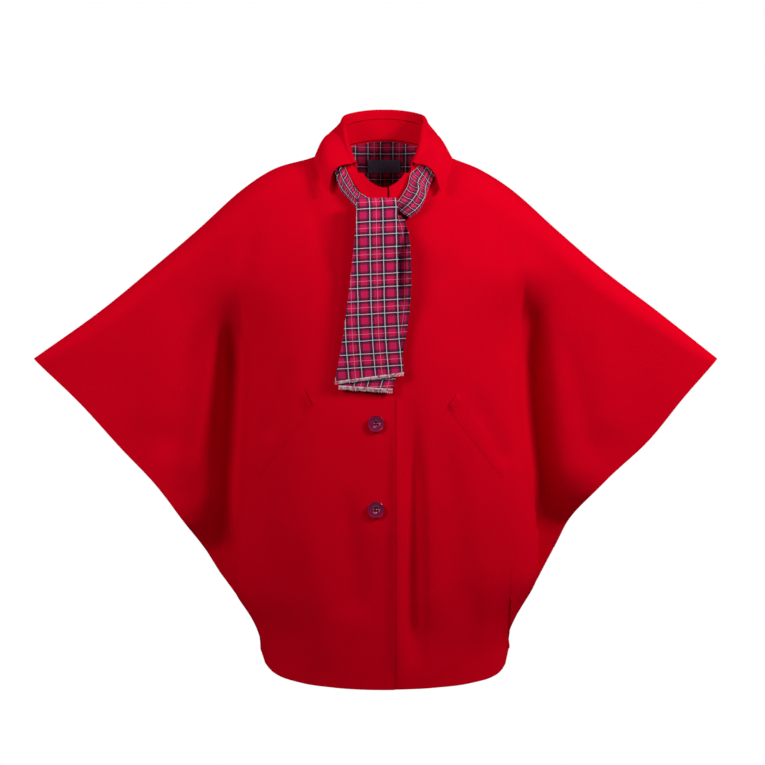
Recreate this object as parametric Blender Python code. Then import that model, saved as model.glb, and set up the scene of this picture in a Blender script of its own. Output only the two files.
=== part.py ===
"""Wheelchair cape in red wool, worn open on a general figure with both wings held out.

Metres, +Z up. The wearer faces -Y, the wearer's left is +X. The origin is the
middle of the neck at shoulder level, where the wearer holds the cape up.
Every cloth piece is a thin wall: a flat grid laid out like its paper pattern,
then moved on to the draped shape that the functions below work out.
"""

import math

import bmesh
import bpy
from mathutils import Matrix, Vector
from mathutils.bvhtree import BVHTree

WALL = 0.002  # wool, doubled at the front edges
LINING_WALL = 0.001
SCARF_WALL = 0.0015
SEAM_GAP = 0.0003
STEP = 0.001  # share of a grid used to measure a slope

NECK_HALF = 0.078  # half the neck hole, side to side
NECK_POINT_HEIGHT = 0.015  # where shoulder line and collar meet
FRONT_NECK_DROP = 0.090
BACK_NECK_RISE = 0.018
FRONT_CONE = 0.020  # how far the cloth would still rise inside the neck hole
BACK_CONE = 0.052
CREST_EASE = 0.012  # rounds the change of slope at the neck point
SHOULDER_ROUND = 0.170  # drop over which the shoulder turns into the chest
SHOULDER_HALF = 0.310  # half width of the rounded sections above the underarm folds
UNDERARM_FOLD_TOP = -0.130  # where the fold beside the body starts, and is full
UNDERARM_FOLD_FULL = -0.270
NECK_COLUMNS = 10
WING_COLUMNS = 17
ROWS = 17
BACK_ROWS = 14
NECK_SHARE = NECK_COLUMNS / (NECK_COLUMNS + WING_COLUMNS)

RIGHT, LEFT = -1, 1
LAP_STEP = WALL + 0.0008  # the left front runs this far under the right one
# Columns from the centre edge to the neck point. The first five are at the same
# places on both fronts, so that the layers of the lap run side by side.
# column, out on the right, out on the left
NECK_OUTS = (
    (0, -0.0155, -0.0240),
    (1, -0.0078, -0.0120),
    (2, 0.0000, 0.0000),
    (3, 0.0120, 0.0078),
    (4, 0.0240, 0.0155),
    (5, 0.0360, 0.0290),
    (6, 0.0470, 0.0420),
    (7, 0.0570, 0.0540),
    (8, 0.0660, 0.0645),
    (9, 0.0730, 0.0725),
    (10, 0.0780, 0.0780),
)
LAP_COLUMNS = 4
# Columns from the neck point to the wing tip, close together at the fold beside the body.
# column, out on the overarm seam on the right, on the left, place along FOOT
WING_PLACES = (
    (0, 0.078, 0.078, 0.00),
    (1, 0.112, 0.112, 0.10),
    (2, 0.140, 0.140, 0.20),
    (3, 0.162, 0.162, 0.30),
    (4, 0.180, 0.180, 0.38),
    (5, 0.192, 0.192, 0.56),
    (6, 0.202, 0.202, 0.74),
    (7, 0.211, 0.211, 0.84),
    (8, 0.220, 0.220, 0.88),
    (9, 0.230, 0.230, 0.90),
    (10, 0.244, 0.243, 0.92),
    (11, 0.266, 0.263, 0.935),
    (12, 0.298, 0.292, 0.95),
    (13, 0.338, 0.328, 0.96),
    (14, 0.386, 0.372, 0.97),
    (15, 0.438, 0.420, 0.98),
    (16, 0.490, 0.467, 0.99),
    (17, 0.538, 0.512, 1.00),
)
CORNER_COLUMN = 4  # ends at the bottom of the side seam
FOLD_COLUMN = 8  # runs down the fold beside the body
LAP_EASE = (0.022, 0.075)  # where the under front comes back up to the full form

# Overarm seam from the neck point to the wing tip.
# height, out on the right, out on the left
OVERARM = (
    (0.015, 0.078, 0.078),
    (0.002, 0.112, 0.104),
    (-0.015, 0.169, 0.146),
    (-0.046, 0.217, 0.195),
    (-0.108, 0.286, 0.265),
    (-0.169, 0.358, 0.336),
    (-0.231, 0.434, 0.418),
    (-0.305, 0.538, 0.512),
)
# Open wing edge from the tip to the top of the side seam.
# share, right out, right height, left out, left height
CUFF = (
    (0.0, 0.538, -0.305, 0.512, -0.305),
    (0.2, 0.466, -0.371, 0.458, -0.364),
    (0.4, 0.402, -0.440, 0.403, -0.430),
    (0.6, 0.345, -0.500, 0.340, -0.488),
    (0.8, 0.294, -0.570, 0.291, -0.543),
    (1.0, 0.250, -0.640, 0.262, -0.597),
)
# Front hem from under the neck point round the corner and up the side seam.
# share, right out, right height, left out, left height
FOOT = (
    (0.00, 0.070, -0.797, 0.070, -0.797),
    (0.18, 0.126, -0.792, 0.130, -0.793),
    (0.32, 0.170, -0.781, 0.176, -0.783),
    (0.38, 0.187, -0.766, 0.190, -0.768),
    (0.52, 0.192, -0.735, 0.191, -0.735),
    (0.68, 0.204, -0.706, 0.203, -0.704),
    (0.84, 0.227, -0.672, 0.232, -0.655),
    (1.00, 0.250, -0.640, 0.262, -0.597),
)
HEM_CENTRE = -0.799
BACK_HEM_RISE = 0.012  # the back hem hangs a little higher than the front

# Level sections of the body of the cape, from the shoulders down.
# height, front depth, back depth, squareness
SECTIONS = (
    (0.050, 0.074, 0.098, 2.0),
    (-0.060, 0.084, 0.104, 2.0),
    (-0.130, 0.102, 0.110, 2.1),
    (-0.220, 0.121, 0.115, 2.3),
    (-0.310, 0.132, 0.113, 2.6),
    (-0.450, 0.138, 0.105, 3.0),
    (-0.560, 0.137, 0.108, 2.9),
    (-0.640, 0.132, 0.110, 2.5),
    (-0.710, 0.125, 0.108, 2.2),
    (-0.830, 0.114, 0.104, 2.2),
)
WING_DEPTH = 0.048  # of each layer below the overarm seam
TIP_DEPTH = 0.0045
LEAST_DEPTH = 0.0042  # keeps the two layers apart above the side seam
VALLEY_SHARE = 0.62  # how much of the wing depth the underarm valley takes away
VALLEY_OUT = 0.014  # from the edge of the body to the bottom of the fold
VALLEY_WIDTH = 0.024
UNDERARM_FADE = 0.13  # distance from the side seam's top where the wing is full

# Soft folds. Positive lift is a ridge, negative a trough.
# side, top out, top height, foot out, foot height, half width, lift
FRONT_FOLDS = (
    (RIGHT, 0.236, -0.200, 0.302, -0.520, 0.016, 0.008),
    (RIGHT, 0.144, -0.300, 0.176, -0.430, 0.015, -0.005),
    (RIGHT, 0.056, -0.480, 0.044, -0.700, 0.022, -0.004),
    (LEFT, 0.022, -0.340, 0.026, -0.800, 0.011, 0.004),
    (LEFT, 0.048, -0.360, 0.050, -0.760, 0.014, -0.007),
    (LEFT, 0.092, -0.390, 0.122, -0.720, 0.024, -0.005),
    (LEFT, 0.130, -0.340, 0.184, -0.470, 0.016, -0.004),
    (LEFT, 0.242, -0.260, 0.292, -0.500, 0.013, 0.006),
)
BACK_FOLDS = (
    (RIGHT, 0.240, -0.200, 0.300, -0.520, 0.018, 0.008),
    (RIGHT, 0.120, -0.220, 0.100, -0.740, 0.026, -0.009),
    (RIGHT, 0.070, -0.300, 0.058, -0.780, 0.022, 0.006),
    (LEFT, 0.010, -0.260, 0.012, -0.780, 0.026, -0.008),
    (LEFT, 0.090, -0.240, 0.080, -0.760, 0.024, 0.007),
    (LEFT, 0.136, -0.210, 0.124, -0.740, 0.024, -0.009),
    (LEFT, 0.236, -0.210, 0.290, -0.500, 0.016, 0.008),
)

# Collar round the neck, the same on both sides. Turn 0 is the back, 180 the front.
# turn, crest in from the neck seam, crest up, height of the outer edge
COLLAR = (
    (0, 0.000, 0.046, -0.008),
    (45, 0.004, 0.047, -0.008),
    (65, 0.012, 0.045, -0.001),
    (90, 0.020, 0.036, 0.0085),
    (112, 0.020, 0.032, -0.024),
    (128, 0.018, 0.031, -0.046),
    (143, 0.014, 0.030, -0.058),
    (165, 0.008, 0.029, -0.070),
    (200, 0.004, 0.026, -0.070),
)
STAND_GAP = 0.0012
FALL_GAP = 0.0024  # between the top of the stand and the start of the fall
STAND_SHARE = 0.70  # of the height to the crest that the stand takes
STAND_FULL_FROM = (145, 152)  # past the fall the stand takes the whole height
STAND_END = {RIGHT: 184, LEFT: 174}
FALL_END_TOP = 143  # turn where the fall ends at the crest and at its outer edge
FALL_END_EDGE = 133
FALL_LIFT = 0.0045
SCARF_LIFT = 0.0090  # more lift in front, where the scarf lies under the fall
ROLL_WIDTH = 0.0125
FALL_BOW = (0.011, 0.003)  # outwards and up, half way down the fall
STAND_COLUMNS = 40
STAND_ROWS = 2
FALL_COLUMNS = 32
FALL_ROWS = 10

LINING_GAP = 0.0012
LINING_TURN = 80  # the lining reaches this far round the neck on each side
LINING_DEPTH = 0.085
LINING_SIDE_DEPTH = 0.035
LINING_COLUMNS = 16
LINING_ROWS = 8
LABEL_WALL = 0.001
LABEL_HALF = 0.026
LABEL_TOP = 0.004
LABEL_DROP = 0.020
LABEL_COLUMNS = 8

BUTTON_RADIUS = 0.0122
BUTTON_THICK = 0.0036
BUTTON_OUT = 0.012  # towards the right of the centre
BUTTON_HEIGHTS = (-0.143, -0.270, -0.397, -0.524)
BUTTON_RIM = 0.0020
BUTTON_DISH = 0.0010
BUTTON_HOLE_RADIUS = 0.0012
BUTTON_HOLE_SPREAD = 0.0028

WELT_LENGTH = 0.135
WELT_WALL = 0.0018
WELT_GAP = 0.0013
WELT_SLOPE = math.radians(52)
# Lower corner of the top end, and the step from there along the slanted end.
WELT_START = {RIGHT: (0.105, -0.374), LEFT: (0.093, -0.374)}
WELT_END = {RIGHT: (0.0133, 0.0296), LEFT: (0.0163, 0.0224)}

# The scarf round the neck: upper and lower edge of each strand, from the back to the front.
# upper turn, upper height, lower turn, lower height, lift, bulge
RIGHT_STRAND = (
    (1.0, 0.062, 1.0, 0.038, 0.0040, 0.000),
    (45, 0.055, 45, 0.030, 0.0040, 0.000),
    (90, 0.037, 90, 0.019, 0.0040, 0.000),
    (115, 0.014, 115, -0.008, 0.0042, 0.001),
    (134, -0.020, 133, -0.050, 0.0055, 0.003),
    (144, -0.038, 142, -0.062, 0.0070, 0.004),
    (152, -0.052, 150, -0.074, 0.0075, 0.004),
    (163, -0.062, 160, -0.088, 0.0070, 0.003),
    (173, -0.066, 171, -0.094, 0.0060, 0.002),
)
LEFT_STRAND = (
    (1.0, 0.062, 1.0, 0.038, 0.0040, 0.000),
    (45, 0.055, 45, 0.030, 0.0040, 0.000),
    (90, 0.037, 90, 0.019, 0.0040, 0.000),
    (117, 0.010, 114, -0.010, 0.0038, 0.000),
    (135, -0.014, 128, -0.038, 0.0036, 0.000),
    (147, -0.026, 134, -0.054, 0.0050, 0.003),
    (154, -0.044, 139, -0.067, 0.0080, 0.008),
    (163, -0.062, 147, -0.082, 0.0090, 0.007),
    (171, -0.076, 157, -0.0935, 0.0080, 0.004),
)
STRAND_COLUMNS = 6
STRAND_ROWS = 20
# The hanging ends, from the top down. Signed distances from the centre, + on the left.
# share, height, one edge, other edge, lift from the front, curl of the other edge
FRONT_TAIL = (
    (0.00, -0.088, -0.030, 0.010, 0.0125, 0.000),
    (0.06, -0.072, -0.037, 0.015, 0.0150, 0.000),
    (0.11, -0.063, -0.0400, 0.0185, 0.0200, 0.000),
    (0.16, -0.069, -0.0405, 0.0200, 0.0265, 0.000),
    (0.25, -0.090, -0.0410, 0.0205, 0.0260, 0.000),
    (0.45, -0.155, -0.0470, 0.0215, 0.0180, 0.000),
    (0.75, -0.255, -0.0600, 0.0240, 0.0120, 0.000),
    (1.00, -0.3205, -0.0725, 0.0290, 0.0094, 0.000),
)
REAR_TAIL = (
    (0.00, -0.080, -0.010, 0.026, 0.0040, 0.000),
    (0.07, -0.095, -0.012, 0.031, 0.0046, 0.000),
    (0.16, -0.115, -0.022, 0.036, 0.0085, 0.006),
    (0.32, -0.154, -0.040, 0.0385, 0.0085, 0.014),
    (0.48, -0.195, -0.045, 0.0390, 0.0080, 0.011),
    (0.64, -0.240, -0.051, 0.0365, 0.0074, 0.002),
    (0.82, -0.295, -0.060, 0.0270, 0.0070, 0.000),
    (1.00, -0.345, -0.067, 0.0125, 0.0068, 0.000),
)
TAIL_COLUMNS = 8
TAIL_ROWS = 16
# How much lower one corner of the lower edge hangs, in front and behind.
FRONT_TILT = 0.0135
REAR_TILT = -0.005
CURL_FROM = 0.72  # share of the width where the curl starts
FRONT_FRINGE = 0.005
REAR_FRINGE = 0.007
FRINGE_STRANDS = 20
FRINGE_BACKING = 0.0018

TREES = {}  # search trees of the finished panels

RED = (0.60, 0.004, 0.016, 1)
PLUM = (0.16, 0.004, 0.03, 1)
NAVY = (0.012, 0.012, 0.028, 1)
TARTAN_RED = (0.33, 0.02, 0.06, 1)
PALE = (0.60, 0.50, 0.52, 1)


def smooth(x):
    """0 below 0, 1 above 1 and an S between."""
    x = min(1.0, max(0.0, x))
    return x * x * (3 - 2 * x)


def mix(a, b, share):
    return a + (b - a) * share


def read(rows, key, value, at):
    """Column value of a table at a place in column key, on a smooth curve."""
    xs = [row[key] for row in rows]
    ys = [row[value] for row in rows]
    if xs[0] > xs[-1]:
        xs.reverse()
        ys.reverse()
    if at <= xs[0]:
        return ys[0]
    if at >= xs[-1]:
        return ys[-1]
    i = max(j for j in range(len(xs) - 1) if xs[j] <= at)
    slopes = [(ys[j + 1] - ys[j]) / (xs[j + 1] - xs[j]) for j in range(len(xs) - 1)]

    def tangent(j):
        before = slopes[max(j - 1, 0)]
        after = slopes[min(j, len(slopes) - 1)]
        return 0.0 if before * after < 0 else (before + after) / 2

    width = xs[i + 1] - xs[i]
    t = (at - xs[i]) / width
    start, end = ys[i], ys[i + 1]
    leave, arrive = tangent(i) * width, tangent(i + 1) * width
    return (
        start * (2 * t**3 - 3 * t**2 + 1)
        + leave * (t**3 - 2 * t**2 + t)
        + end * (3 * t**2 - 2 * t**3)
        + arrive * (t**3 - t**2)
    )


def side_column(side, right_column, left_column):
    return right_column if side == RIGHT else left_column


def overarm_height(side, out):
    return read(OVERARM, side_column(side, 1, 2), 0, abs(out))


def neck_level(out):
    """1 at the middle of the neck hole, 0 at the neck point."""
    return max(0.0, 1 - (out / NECK_HALF) ** 2)


def crest_height(side, out, front):
    """Height of the ridge between front and back, carried on over the neck hole."""
    if abs(out) >= NECK_HALF:
        return overarm_height(side, out)
    cone = FRONT_CONE if front else BACK_CONE
    return NECK_POINT_HEIGHT + cone * neck_level(out)


def neck_height(out, front):
    rise = -FRONT_NECK_DROP if front else BACK_NECK_RISE
    return NECK_POINT_HEIGHT + rise * neck_level(out)


def underarm(side):
    top = CUFF[-1]
    return top[side_column(side, 1, 3)], top[side_column(side, 2, 4)]


def body_half(side, height):
    """Half width of the body: the side seam low down, the turned fold above it."""
    out, up = side_column(side, 1, 3), side_column(side, 2, 4)
    fold = WING_PLACES[FOLD_COLUMN]
    fold_foot = read(FOOT, 0, up, fold[3])
    if height <= fold_foot:
        return read(FOOT[3:], up, out, height)
    top = fold[side_column(side, 1, 2)]
    down = (overarm_height(side, top) - height) / (overarm_height(side, top) - fold_foot)
    return mix(top, read(FOOT, 0, out, fold[3]), down)


def quarter(share):
    """A quarter circle that rises at once and levels off."""
    share = min(1.0, max(0.0, share))
    return math.sqrt(max(0.0, 1 - (1 - share) ** 2))


def fold_lift(folds, side, out, height):
    lift = 0.0
    for row_side, top_out, top, foot_out, foot, width, rise in folds:
        if row_side != side and abs(out) > 0.03:
            continue
        here = out if row_side == side else -out
        down = (top - height) / (top - foot)
        if not 0 < down < 1:
            continue
        across = (here - mix(top_out, foot_out, down)) / (width * (0.6 + 0.6 * down))
        lift += rise * math.exp(-across * across) * smooth(min(down * 3, (1 - down) * 5))
    return lift


def depth(side, out, height, front):
    """How far the cloth stands forward (or back) of the plane through the seams."""
    out_abs = abs(out)
    crest = 0.0
    for beside, weight in ((-CREST_EASE, 0.25), (0.0, 0.5), (CREST_EASE, 0.25)):
        crest += weight * crest_height(side, out_abs + beside, front)
    drop = max(0.0, crest - height)
    half = body_half(side, height)
    square = read(SECTIONS, 0, 3, height)
    full = read(SECTIONS, 0, 1 if front else 2, height)
    folded = max(0.0, 1 - min(1.0, out_abs / half) ** square) ** (1 / square)
    draped = max(0.0, 1 - min(1.0, out_abs / SHOULDER_HALF) ** 2) ** 0.75
    fold = smooth((UNDERARM_FOLD_TOP - height) / (UNDERARM_FOLD_TOP - UNDERARM_FOLD_FULL))
    body = full * mix(draped, folded, fold) * quarter(drop / SHOULDER_ROUND)

    tip = OVERARM[-1][side_column(side, 1, 2)]
    wing = TIP_DEPTH + WING_DEPTH * math.sqrt(max(0.0, 1 - (out_abs / tip) ** 2.2))
    under_out, under_height = underarm(side)
    away = math.hypot(out_abs - under_out, height - under_height)
    valley = fold * math.exp(-(((out_abs - half - VALLEY_OUT) / VALLEY_WIDTH) ** 2))
    wing *= quarter(drop / max(0.009, 1.1 * wing))
    wing *= 1 - VALLEY_SHARE * valley
    wing *= smooth(away / UNDERARM_FADE) * smooth((height - under_height + 0.01) / 0.10)

    whole = (body**4 + wing**4) ** 0.25
    whole = max(whole, LEAST_DEPTH * quarter(min(away, drop) / 0.012))
    soft = smooth(drop / 0.05) * smooth((whole - 0.004) / 0.02)
    return whole + soft * fold_lift(FRONT_FOLDS if front else BACK_FOLDS, side, out, height)


def neck_out(side, share, front, at_foot):
    """How far out a column starts on the neck seam or ends on the hem below it."""
    if not front:
        return FOOT[0][1] * share if at_foot else NECK_HALF * math.sin(math.pi / 2 * share)
    column = share * NECK_COLUMNS
    value = side_column(side, 1, 2)
    if not at_foot or column <= LAP_COLUMNS:
        i = min(int(column), NECK_COLUMNS - 1)
        return mix(NECK_OUTS[i][value], NECK_OUTS[i + 1][value], column - i)
    left = (column - LAP_COLUMNS) / (NECK_COLUMNS - LAP_COLUMNS)
    return mix(NECK_OUTS[LAP_COLUMNS][value], FOOT[0][1], left)


def wing_place(side, column):
    """Out on the overarm seam and place along FOOT of a column past the neck point."""
    i = min(int(column), WING_COLUMNS - 1)
    near, far = WING_PLACES[i], WING_PLACES[i + 1]
    value = side_column(side, 1, 2)
    return mix(near[value], far[value], column - i), mix(near[3], far[3], column - i)


def flat_point(side, across, down, front):
    """Place on the flat front view, as (out, height), of a point of the pattern."""
    rise = 0.0 if front else BACK_HEM_RISE
    column = across * (NECK_COLUMNS + WING_COLUMNS) - NECK_COLUMNS
    if column <= 0:
        share = across / NECK_SHARE
        top_out = neck_out(side, share, front, False)
        top = top_out, neck_height(top_out, front)
        foot_out = neck_out(side, share, front, True)
        sag = (FOOT[0][2] - HEM_CENTRE) * (foot_out / FOOT[0][1]) ** 2
        foot = foot_out, HEM_CENTRE + sag + rise
    else:
        top_out, along = wing_place(side, column)
        top = top_out, overarm_height(side, top_out)
        height = read(FOOT, 0, side_column(side, 2, 4), along)
        corner = WING_PLACES[CORNER_COLUMN][3]
        foot = (
            read(FOOT, 0, side_column(side, 1, 3), along),
            height + rise * (1 - smooth(along / corner)),
        )
    out, height = mix(top[0], foot[0], down), mix(top[1], foot[1], down)
    spread = max(0.0, (column - FOLD_COLUMN) / (WING_COLUMNS - FOLD_COLUMN)) ** 2
    tip, low = CUFF[0], CUFF[-1]
    out_column, up_column = side_column(side, 1, 3), side_column(side, 2, 4)
    bend_out = read(CUFF, 0, out_column, down) - mix(tip[out_column], low[out_column], down)
    bend_up = read(CUFF, 0, up_column, down) - mix(tip[up_column], low[up_column], down)
    return out + spread * bend_out, height + spread * bend_up


def rows_evened(down):
    """Rows closer together at the top seam and at the hem."""
    return mix(down, 0.5 - 0.5 * math.cos(math.pi * down), 0.8)


def on_seam(across, down):
    """True on the overarm seam and on the side seam."""
    column = across * (NECK_COLUMNS + WING_COLUMNS) - NECK_COLUMNS
    at_top = down < STEP / 2 and column > -STEP
    at_side = down > 1 - STEP / 2 and column > CORNER_COLUMN - STEP
    return at_top or at_side


def on_body(side, out, height, front=True):
    """Point on the outside of the cape. The plane of the seams is y = 0."""
    forward = depth(side, out, height, front) + SEAM_GAP / 2
    if front and side == LEFT:
        ease = smooth((out - LAP_EASE[0]) / (LAP_EASE[1] - LAP_EASE[0]))
        forward -= LAP_STEP * (1 - ease)
    return Vector((side * out, -forward if front else forward, height))


def panel_point(side, across, down, front):
    out, height = flat_point(side, across, rows_evened(down), front)
    point = on_body(side, out, height, front)
    if on_seam(across, down):
        point.y = math.copysign(SEAM_GAP / 2, point.y)
    return point


def front_skin(side):
    return lambda across, down: panel_point(side, across, down, True)


def back_skin(across, down):
    signed = 2 * across - 1
    return panel_point(RIGHT if signed < 0 else LEFT, abs(signed), down, False)


def slope(skin, across, down, side_step, down_step):
    """Direction of a skin at a point, halfway between its two neighbours' directions."""
    here = skin(across, down)
    ahead = skin(min(1.0, across + side_step), min(1.0, down + down_step)) - here
    behind = here - skin(max(0.0, across - side_step), max(0.0, down - down_step))
    return ahead.normalized() + behind.normalized()


def moved_in(skin, wall, flip=1, steps=(STEP, STEP)):
    """The skin moved along its own normal. steps set how far off its slope is measured."""
    def inner(across, down):
        along = slope(skin, across, down, steps[0], 0)
        fall = slope(skin, across, down, 0, steps[1])
        return skin(across, down) - along.cross(fall).normalized() * flip * wall

    return inner


def material(name, colour, roughness):
    made = bpy.data.materials.new(name)
    made.use_nodes = True
    shader = made.node_tree.nodes["Principled BSDF"]
    shader.inputs["Base Color"].default_value = colour
    shader.inputs["Roughness"].default_value = roughness
    shader.inputs["Metallic"].default_value = 0.0
    return made


def add_object(name, mesh_data, finish):
    made = bpy.data.objects.new(name, mesh_data)
    made.data.materials.append(finish)
    bpy.data.collections["wheelchair_cape"].objects.link(made)
    return made


def cloth_wall(name, columns, rows, outer, inner, finish, comb=False):
    """A closed wall: a flat grid, extruded once, its two skins moved into place.

    A comb loses every second square of its lower half, which leaves the strands.
    """
    mesh = bmesh.new()
    bmesh.ops.create_grid(mesh, x_segments=columns, y_segments=rows, size=0.5)
    if comb:
        gaps = []
        for face in mesh.faces:
            middle = face.calc_center_median()
            if middle.y < 0 and int((middle.x + 0.5) * columns) % 2:
                gaps.append(face)
        bmesh.ops.delete(mesh, geom=gaps, context="FACES")
    across = mesh.verts.layers.float.new("across")
    down = mesh.verts.layers.float.new("down")
    for vert in mesh.verts:
        vert[across] = vert.co.x + 0.5
        vert[down] = 0.5 - vert.co.y
    made = bmesh.ops.extrude_face_region(mesh, geom=mesh.faces[:], use_keep_orig=True)
    inside = {item for item in made["geom"] if isinstance(item, bmesh.types.BMVert)}
    for vert in mesh.verts:
        place = inner if vert in inside else outer
        vert.co = place(vert[across], vert[down])
    bmesh.ops.triangulate(mesh, faces=mesh.faces[:])
    bmesh.ops.recalc_face_normals(mesh, faces=mesh.faces[:])
    if mesh.calc_volume(signed=True) < 0:
        bmesh.ops.reverse_faces(mesh, faces=mesh.faces[:])
    data = bpy.data.meshes.new(name)
    mesh.to_mesh(data)
    mesh.free()
    data.shade_smooth()
    data.set_sharp_from_angle(angle=math.radians(50))
    return add_object(name, data, finish)


def panel_wall(name, columns, rows, skin, flip, share_of, wool):
    """A panel. At a seam the edge of its inner skin stays in the plane of the seam."""
    steps = 1 / columns, 1 / rows
    free = moved_in(skin, WALL, flip, steps)

    def inner(across, down):
        if not on_seam(share_of(across), down):
            return free(across, down)
        point = skin(across, down)
        along = slope(skin, across, down, steps[0], 0)
        normal = Vector((-along.z, 0.0, along.x)).normalized()
        inside = Vector((0.8 * point.x, 0.0, min(-0.1, point.z - 0.05)))
        return point - normal * math.copysign(WALL, normal.dot(point - inside))

    cloth_wall(name, columns, rows, skin, inner, wool)


def build_panels(wool):
    columns = NECK_COLUMNS + WING_COLUMNS
    for name, side in (("front_right", RIGHT), ("front_left", LEFT)):
        panel_wall(name, columns, ROWS, front_skin(side), -side, lambda across: across, wool)
    panel_wall("back", 2 * columns, BACK_ROWS, back_skin, 1, lambda across: abs(2 * across - 1), wool)


def neck_seam(side, turn):
    """Point of the neck seam, on the outside of the cloth."""
    angle = math.radians(turn)
    front = math.cos(angle) < 0
    out = NECK_HALF * math.sin(angle)
    return on_body(side, out, neck_height(out, front), front)


def ring_radius(side, outward, height):
    """Distance from the neck axis to the cape at a height, in a level direction."""
    across, along = abs(outward.x), abs(outward.y)
    front = outward.y < 0
    near, far = 0.02, 0.3
    for _ in range(26):
        radius = (near + far) / 2
        if radius * along < depth(side, radius * across, height, front):
            near = radius
        else:
            far = radius
    return near


def collar_base(signed_turn):
    """Neck seam point, level direction out of the neck, and the collar's row there."""
    side = RIGHT if signed_turn < 0 else LEFT
    turn = abs(signed_turn)
    seam = neck_seam(side, turn)
    if seam.y != 0 and turn > 90:
        seam.y = min(seam.y, -SEAM_GAP)
    outward = Vector((seam.x, seam.y, 0)).normalized()
    crest_in, crest_up, edge = (read(COLLAR, 0, value, turn) for value in (1, 2, 3))
    return side, turn, seam, outward, crest_in, crest_up, edge


def stand_skin(across, up):
    """Neck side of the stand, from the neck seam up."""
    turn = mix(-STAND_END[RIGHT], STAND_END[LEFT], across)
    _, turn, seam, outward, crest_in, crest_up, _ = collar_base(turn)
    ease = smooth((turn - STAND_FULL_FROM[0]) / (STAND_FULL_FROM[1] - STAND_FULL_FROM[0]))
    share = mix(STAND_SHARE, 1.0, ease) * up
    point = seam - outward * (WALL + crest_in * share)
    point.z += mix(STAND_GAP, crest_up, share)
    return point


def fall_skin(across, down):
    """Seen side of the fall: up inside the neck, over the crest, down to its edge."""
    end = mix(FALL_END_TOP, FALL_END_EDGE, smooth(down * 1.4 - 0.2))
    side, turn, seam, outward, crest_in, crest_up, edge = collar_base(mix(-end, end, across))
    inner = math.hypot(seam.x, seam.y) - WALL - crest_in
    start = mix(STAND_GAP, crest_up, STAND_SHARE) + FALL_GAP
    lift = FALL_LIFT + SCARF_LIFT * smooth((turn - 92) / 30)
    outer = ring_radius(side, outward, edge) + 0.8 * lift
    foot = edge - seam.z + 0.6 * lift
    rolled = inner + ROLL_WIDTH
    rows = (
        (0.00, inner + crest_in * (1 - STAND_SHARE), start),
        (0.20, inner + 0.28 * ROLL_WIDTH, crest_up + 0.0020),
        (0.30, inner + 0.72 * ROLL_WIDTH, crest_up + 0.0012),
        (0.40, rolled, crest_up - 0.0055),
        (0.70, mix(rolled, outer, 0.42) + FALL_BOW[0], mix(crest_up, foot, 0.5) + FALL_BOW[1]),
        (1.00, outer, foot),
    )
    radius, height = read(rows, 0, 1, down), read(rows, 0, 2, down)
    return Vector((outward.x * radius, outward.y * radius, seam.z + height))


def build_collar(wool):
    inner = moved_in(stand_skin, WALL, -1, (1 / STAND_COLUMNS, 1 / STAND_ROWS))
    cloth_wall("collar_stand", STAND_COLUMNS, STAND_ROWS, stand_skin, inner, wool)
    inner = moved_in(fall_skin, WALL, 1, (1 / FALL_COLUMNS, 1 / FALL_ROWS))
    cloth_wall("collar_fall", FALL_COLUMNS, FALL_ROWS, fall_skin, inner, wool)


def lay_on(panel, out, height, lift, from_inside=False):
    """Point that lies on a finished panel, moved off it. out is signed, + on the left."""
    mesh = bpy.data.objects[panel].data
    if panel not in TREES:
        corners = [vert.co for vert in mesh.vertices]
        TREES[panel] = BVHTree.FromPolygons(corners, [face.vertices for face in mesh.polygons])
    start = Vector((out, 0.0 if from_inside else -1.0, height))
    hit, normal, _, _ = TREES[panel].ray_cast(start, Vector((0, 1, 0)))
    if normal.y > 0:
        normal.negate()
    return hit + normal * lift


def lining_skin(gap):
    def skin(across, down):
        turn = math.radians(mix(-LINING_TURN, LINING_TURN, across))
        out = (NECK_HALF - 0.003) * math.sin(turn)
        fall = mix(LINING_SIDE_DEPTH, LINING_DEPTH, math.cos(turn))
        return lay_on("back", out, neck_height(out, False) - 0.002 - fall * down, gap, True)

    return skin


def label_skin(gap):
    def skin(across, down):
        height = LABEL_TOP - LABEL_DROP * down
        return lay_on("back", mix(-LABEL_HALF, LABEL_HALF, across), height, gap, True)

    return skin


def build_back_neck(tartan, navy):
    outer, inner = lining_skin(LINING_GAP), lining_skin(LINING_GAP + LINING_WALL)
    cloth_wall("back_neck_lining", LINING_COLUMNS, LINING_ROWS, outer, inner, tartan)
    near = LINING_GAP + LINING_WALL + 3 * SEAM_GAP
    outer, inner = label_skin(near), label_skin(near + LABEL_WALL)
    cloth_wall("label", LABEL_COLUMNS, 2, outer, inner, navy)


def welt_skin(side, lift):
    start_out, start_height = WELT_START[side]
    end_out, end_up = WELT_END[side]
    panel = "front_right" if side == RIGHT else "front_left"

    def skin(across, down):
        along = WELT_LENGTH * down
        out = start_out + along * math.cos(WELT_SLOPE) + end_out * across
        height = start_height - along * math.sin(WELT_SLOPE) + end_up * across
        return lay_on(panel, side * out, height, lift)

    return skin


def build_welts(wool):
    for name, side in (("pocket_welt_right", RIGHT), ("pocket_welt_left", LEFT)):
        outer, inner = welt_skin(side, WELT_GAP + WELT_WALL), welt_skin(side, WELT_GAP)
        cloth_wall(name, 4, 16, outer, inner, wool)


def beside_neck(signed_turn, height, lift):
    """Point outside the stand or, below the neck seam, outside the cape."""
    side, _, seam, outward, crest_in, crest_up, _ = collar_base(signed_turn)
    if height >= seam.z:
        radius = math.hypot(seam.x, seam.y) - crest_in * min(1.0, (height - seam.z) / crest_up)
    else:
        radius = ring_radius(side, outward, height)
    radius += lift
    return Vector((outward.x * radius, outward.y * radius, height)), outward


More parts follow.
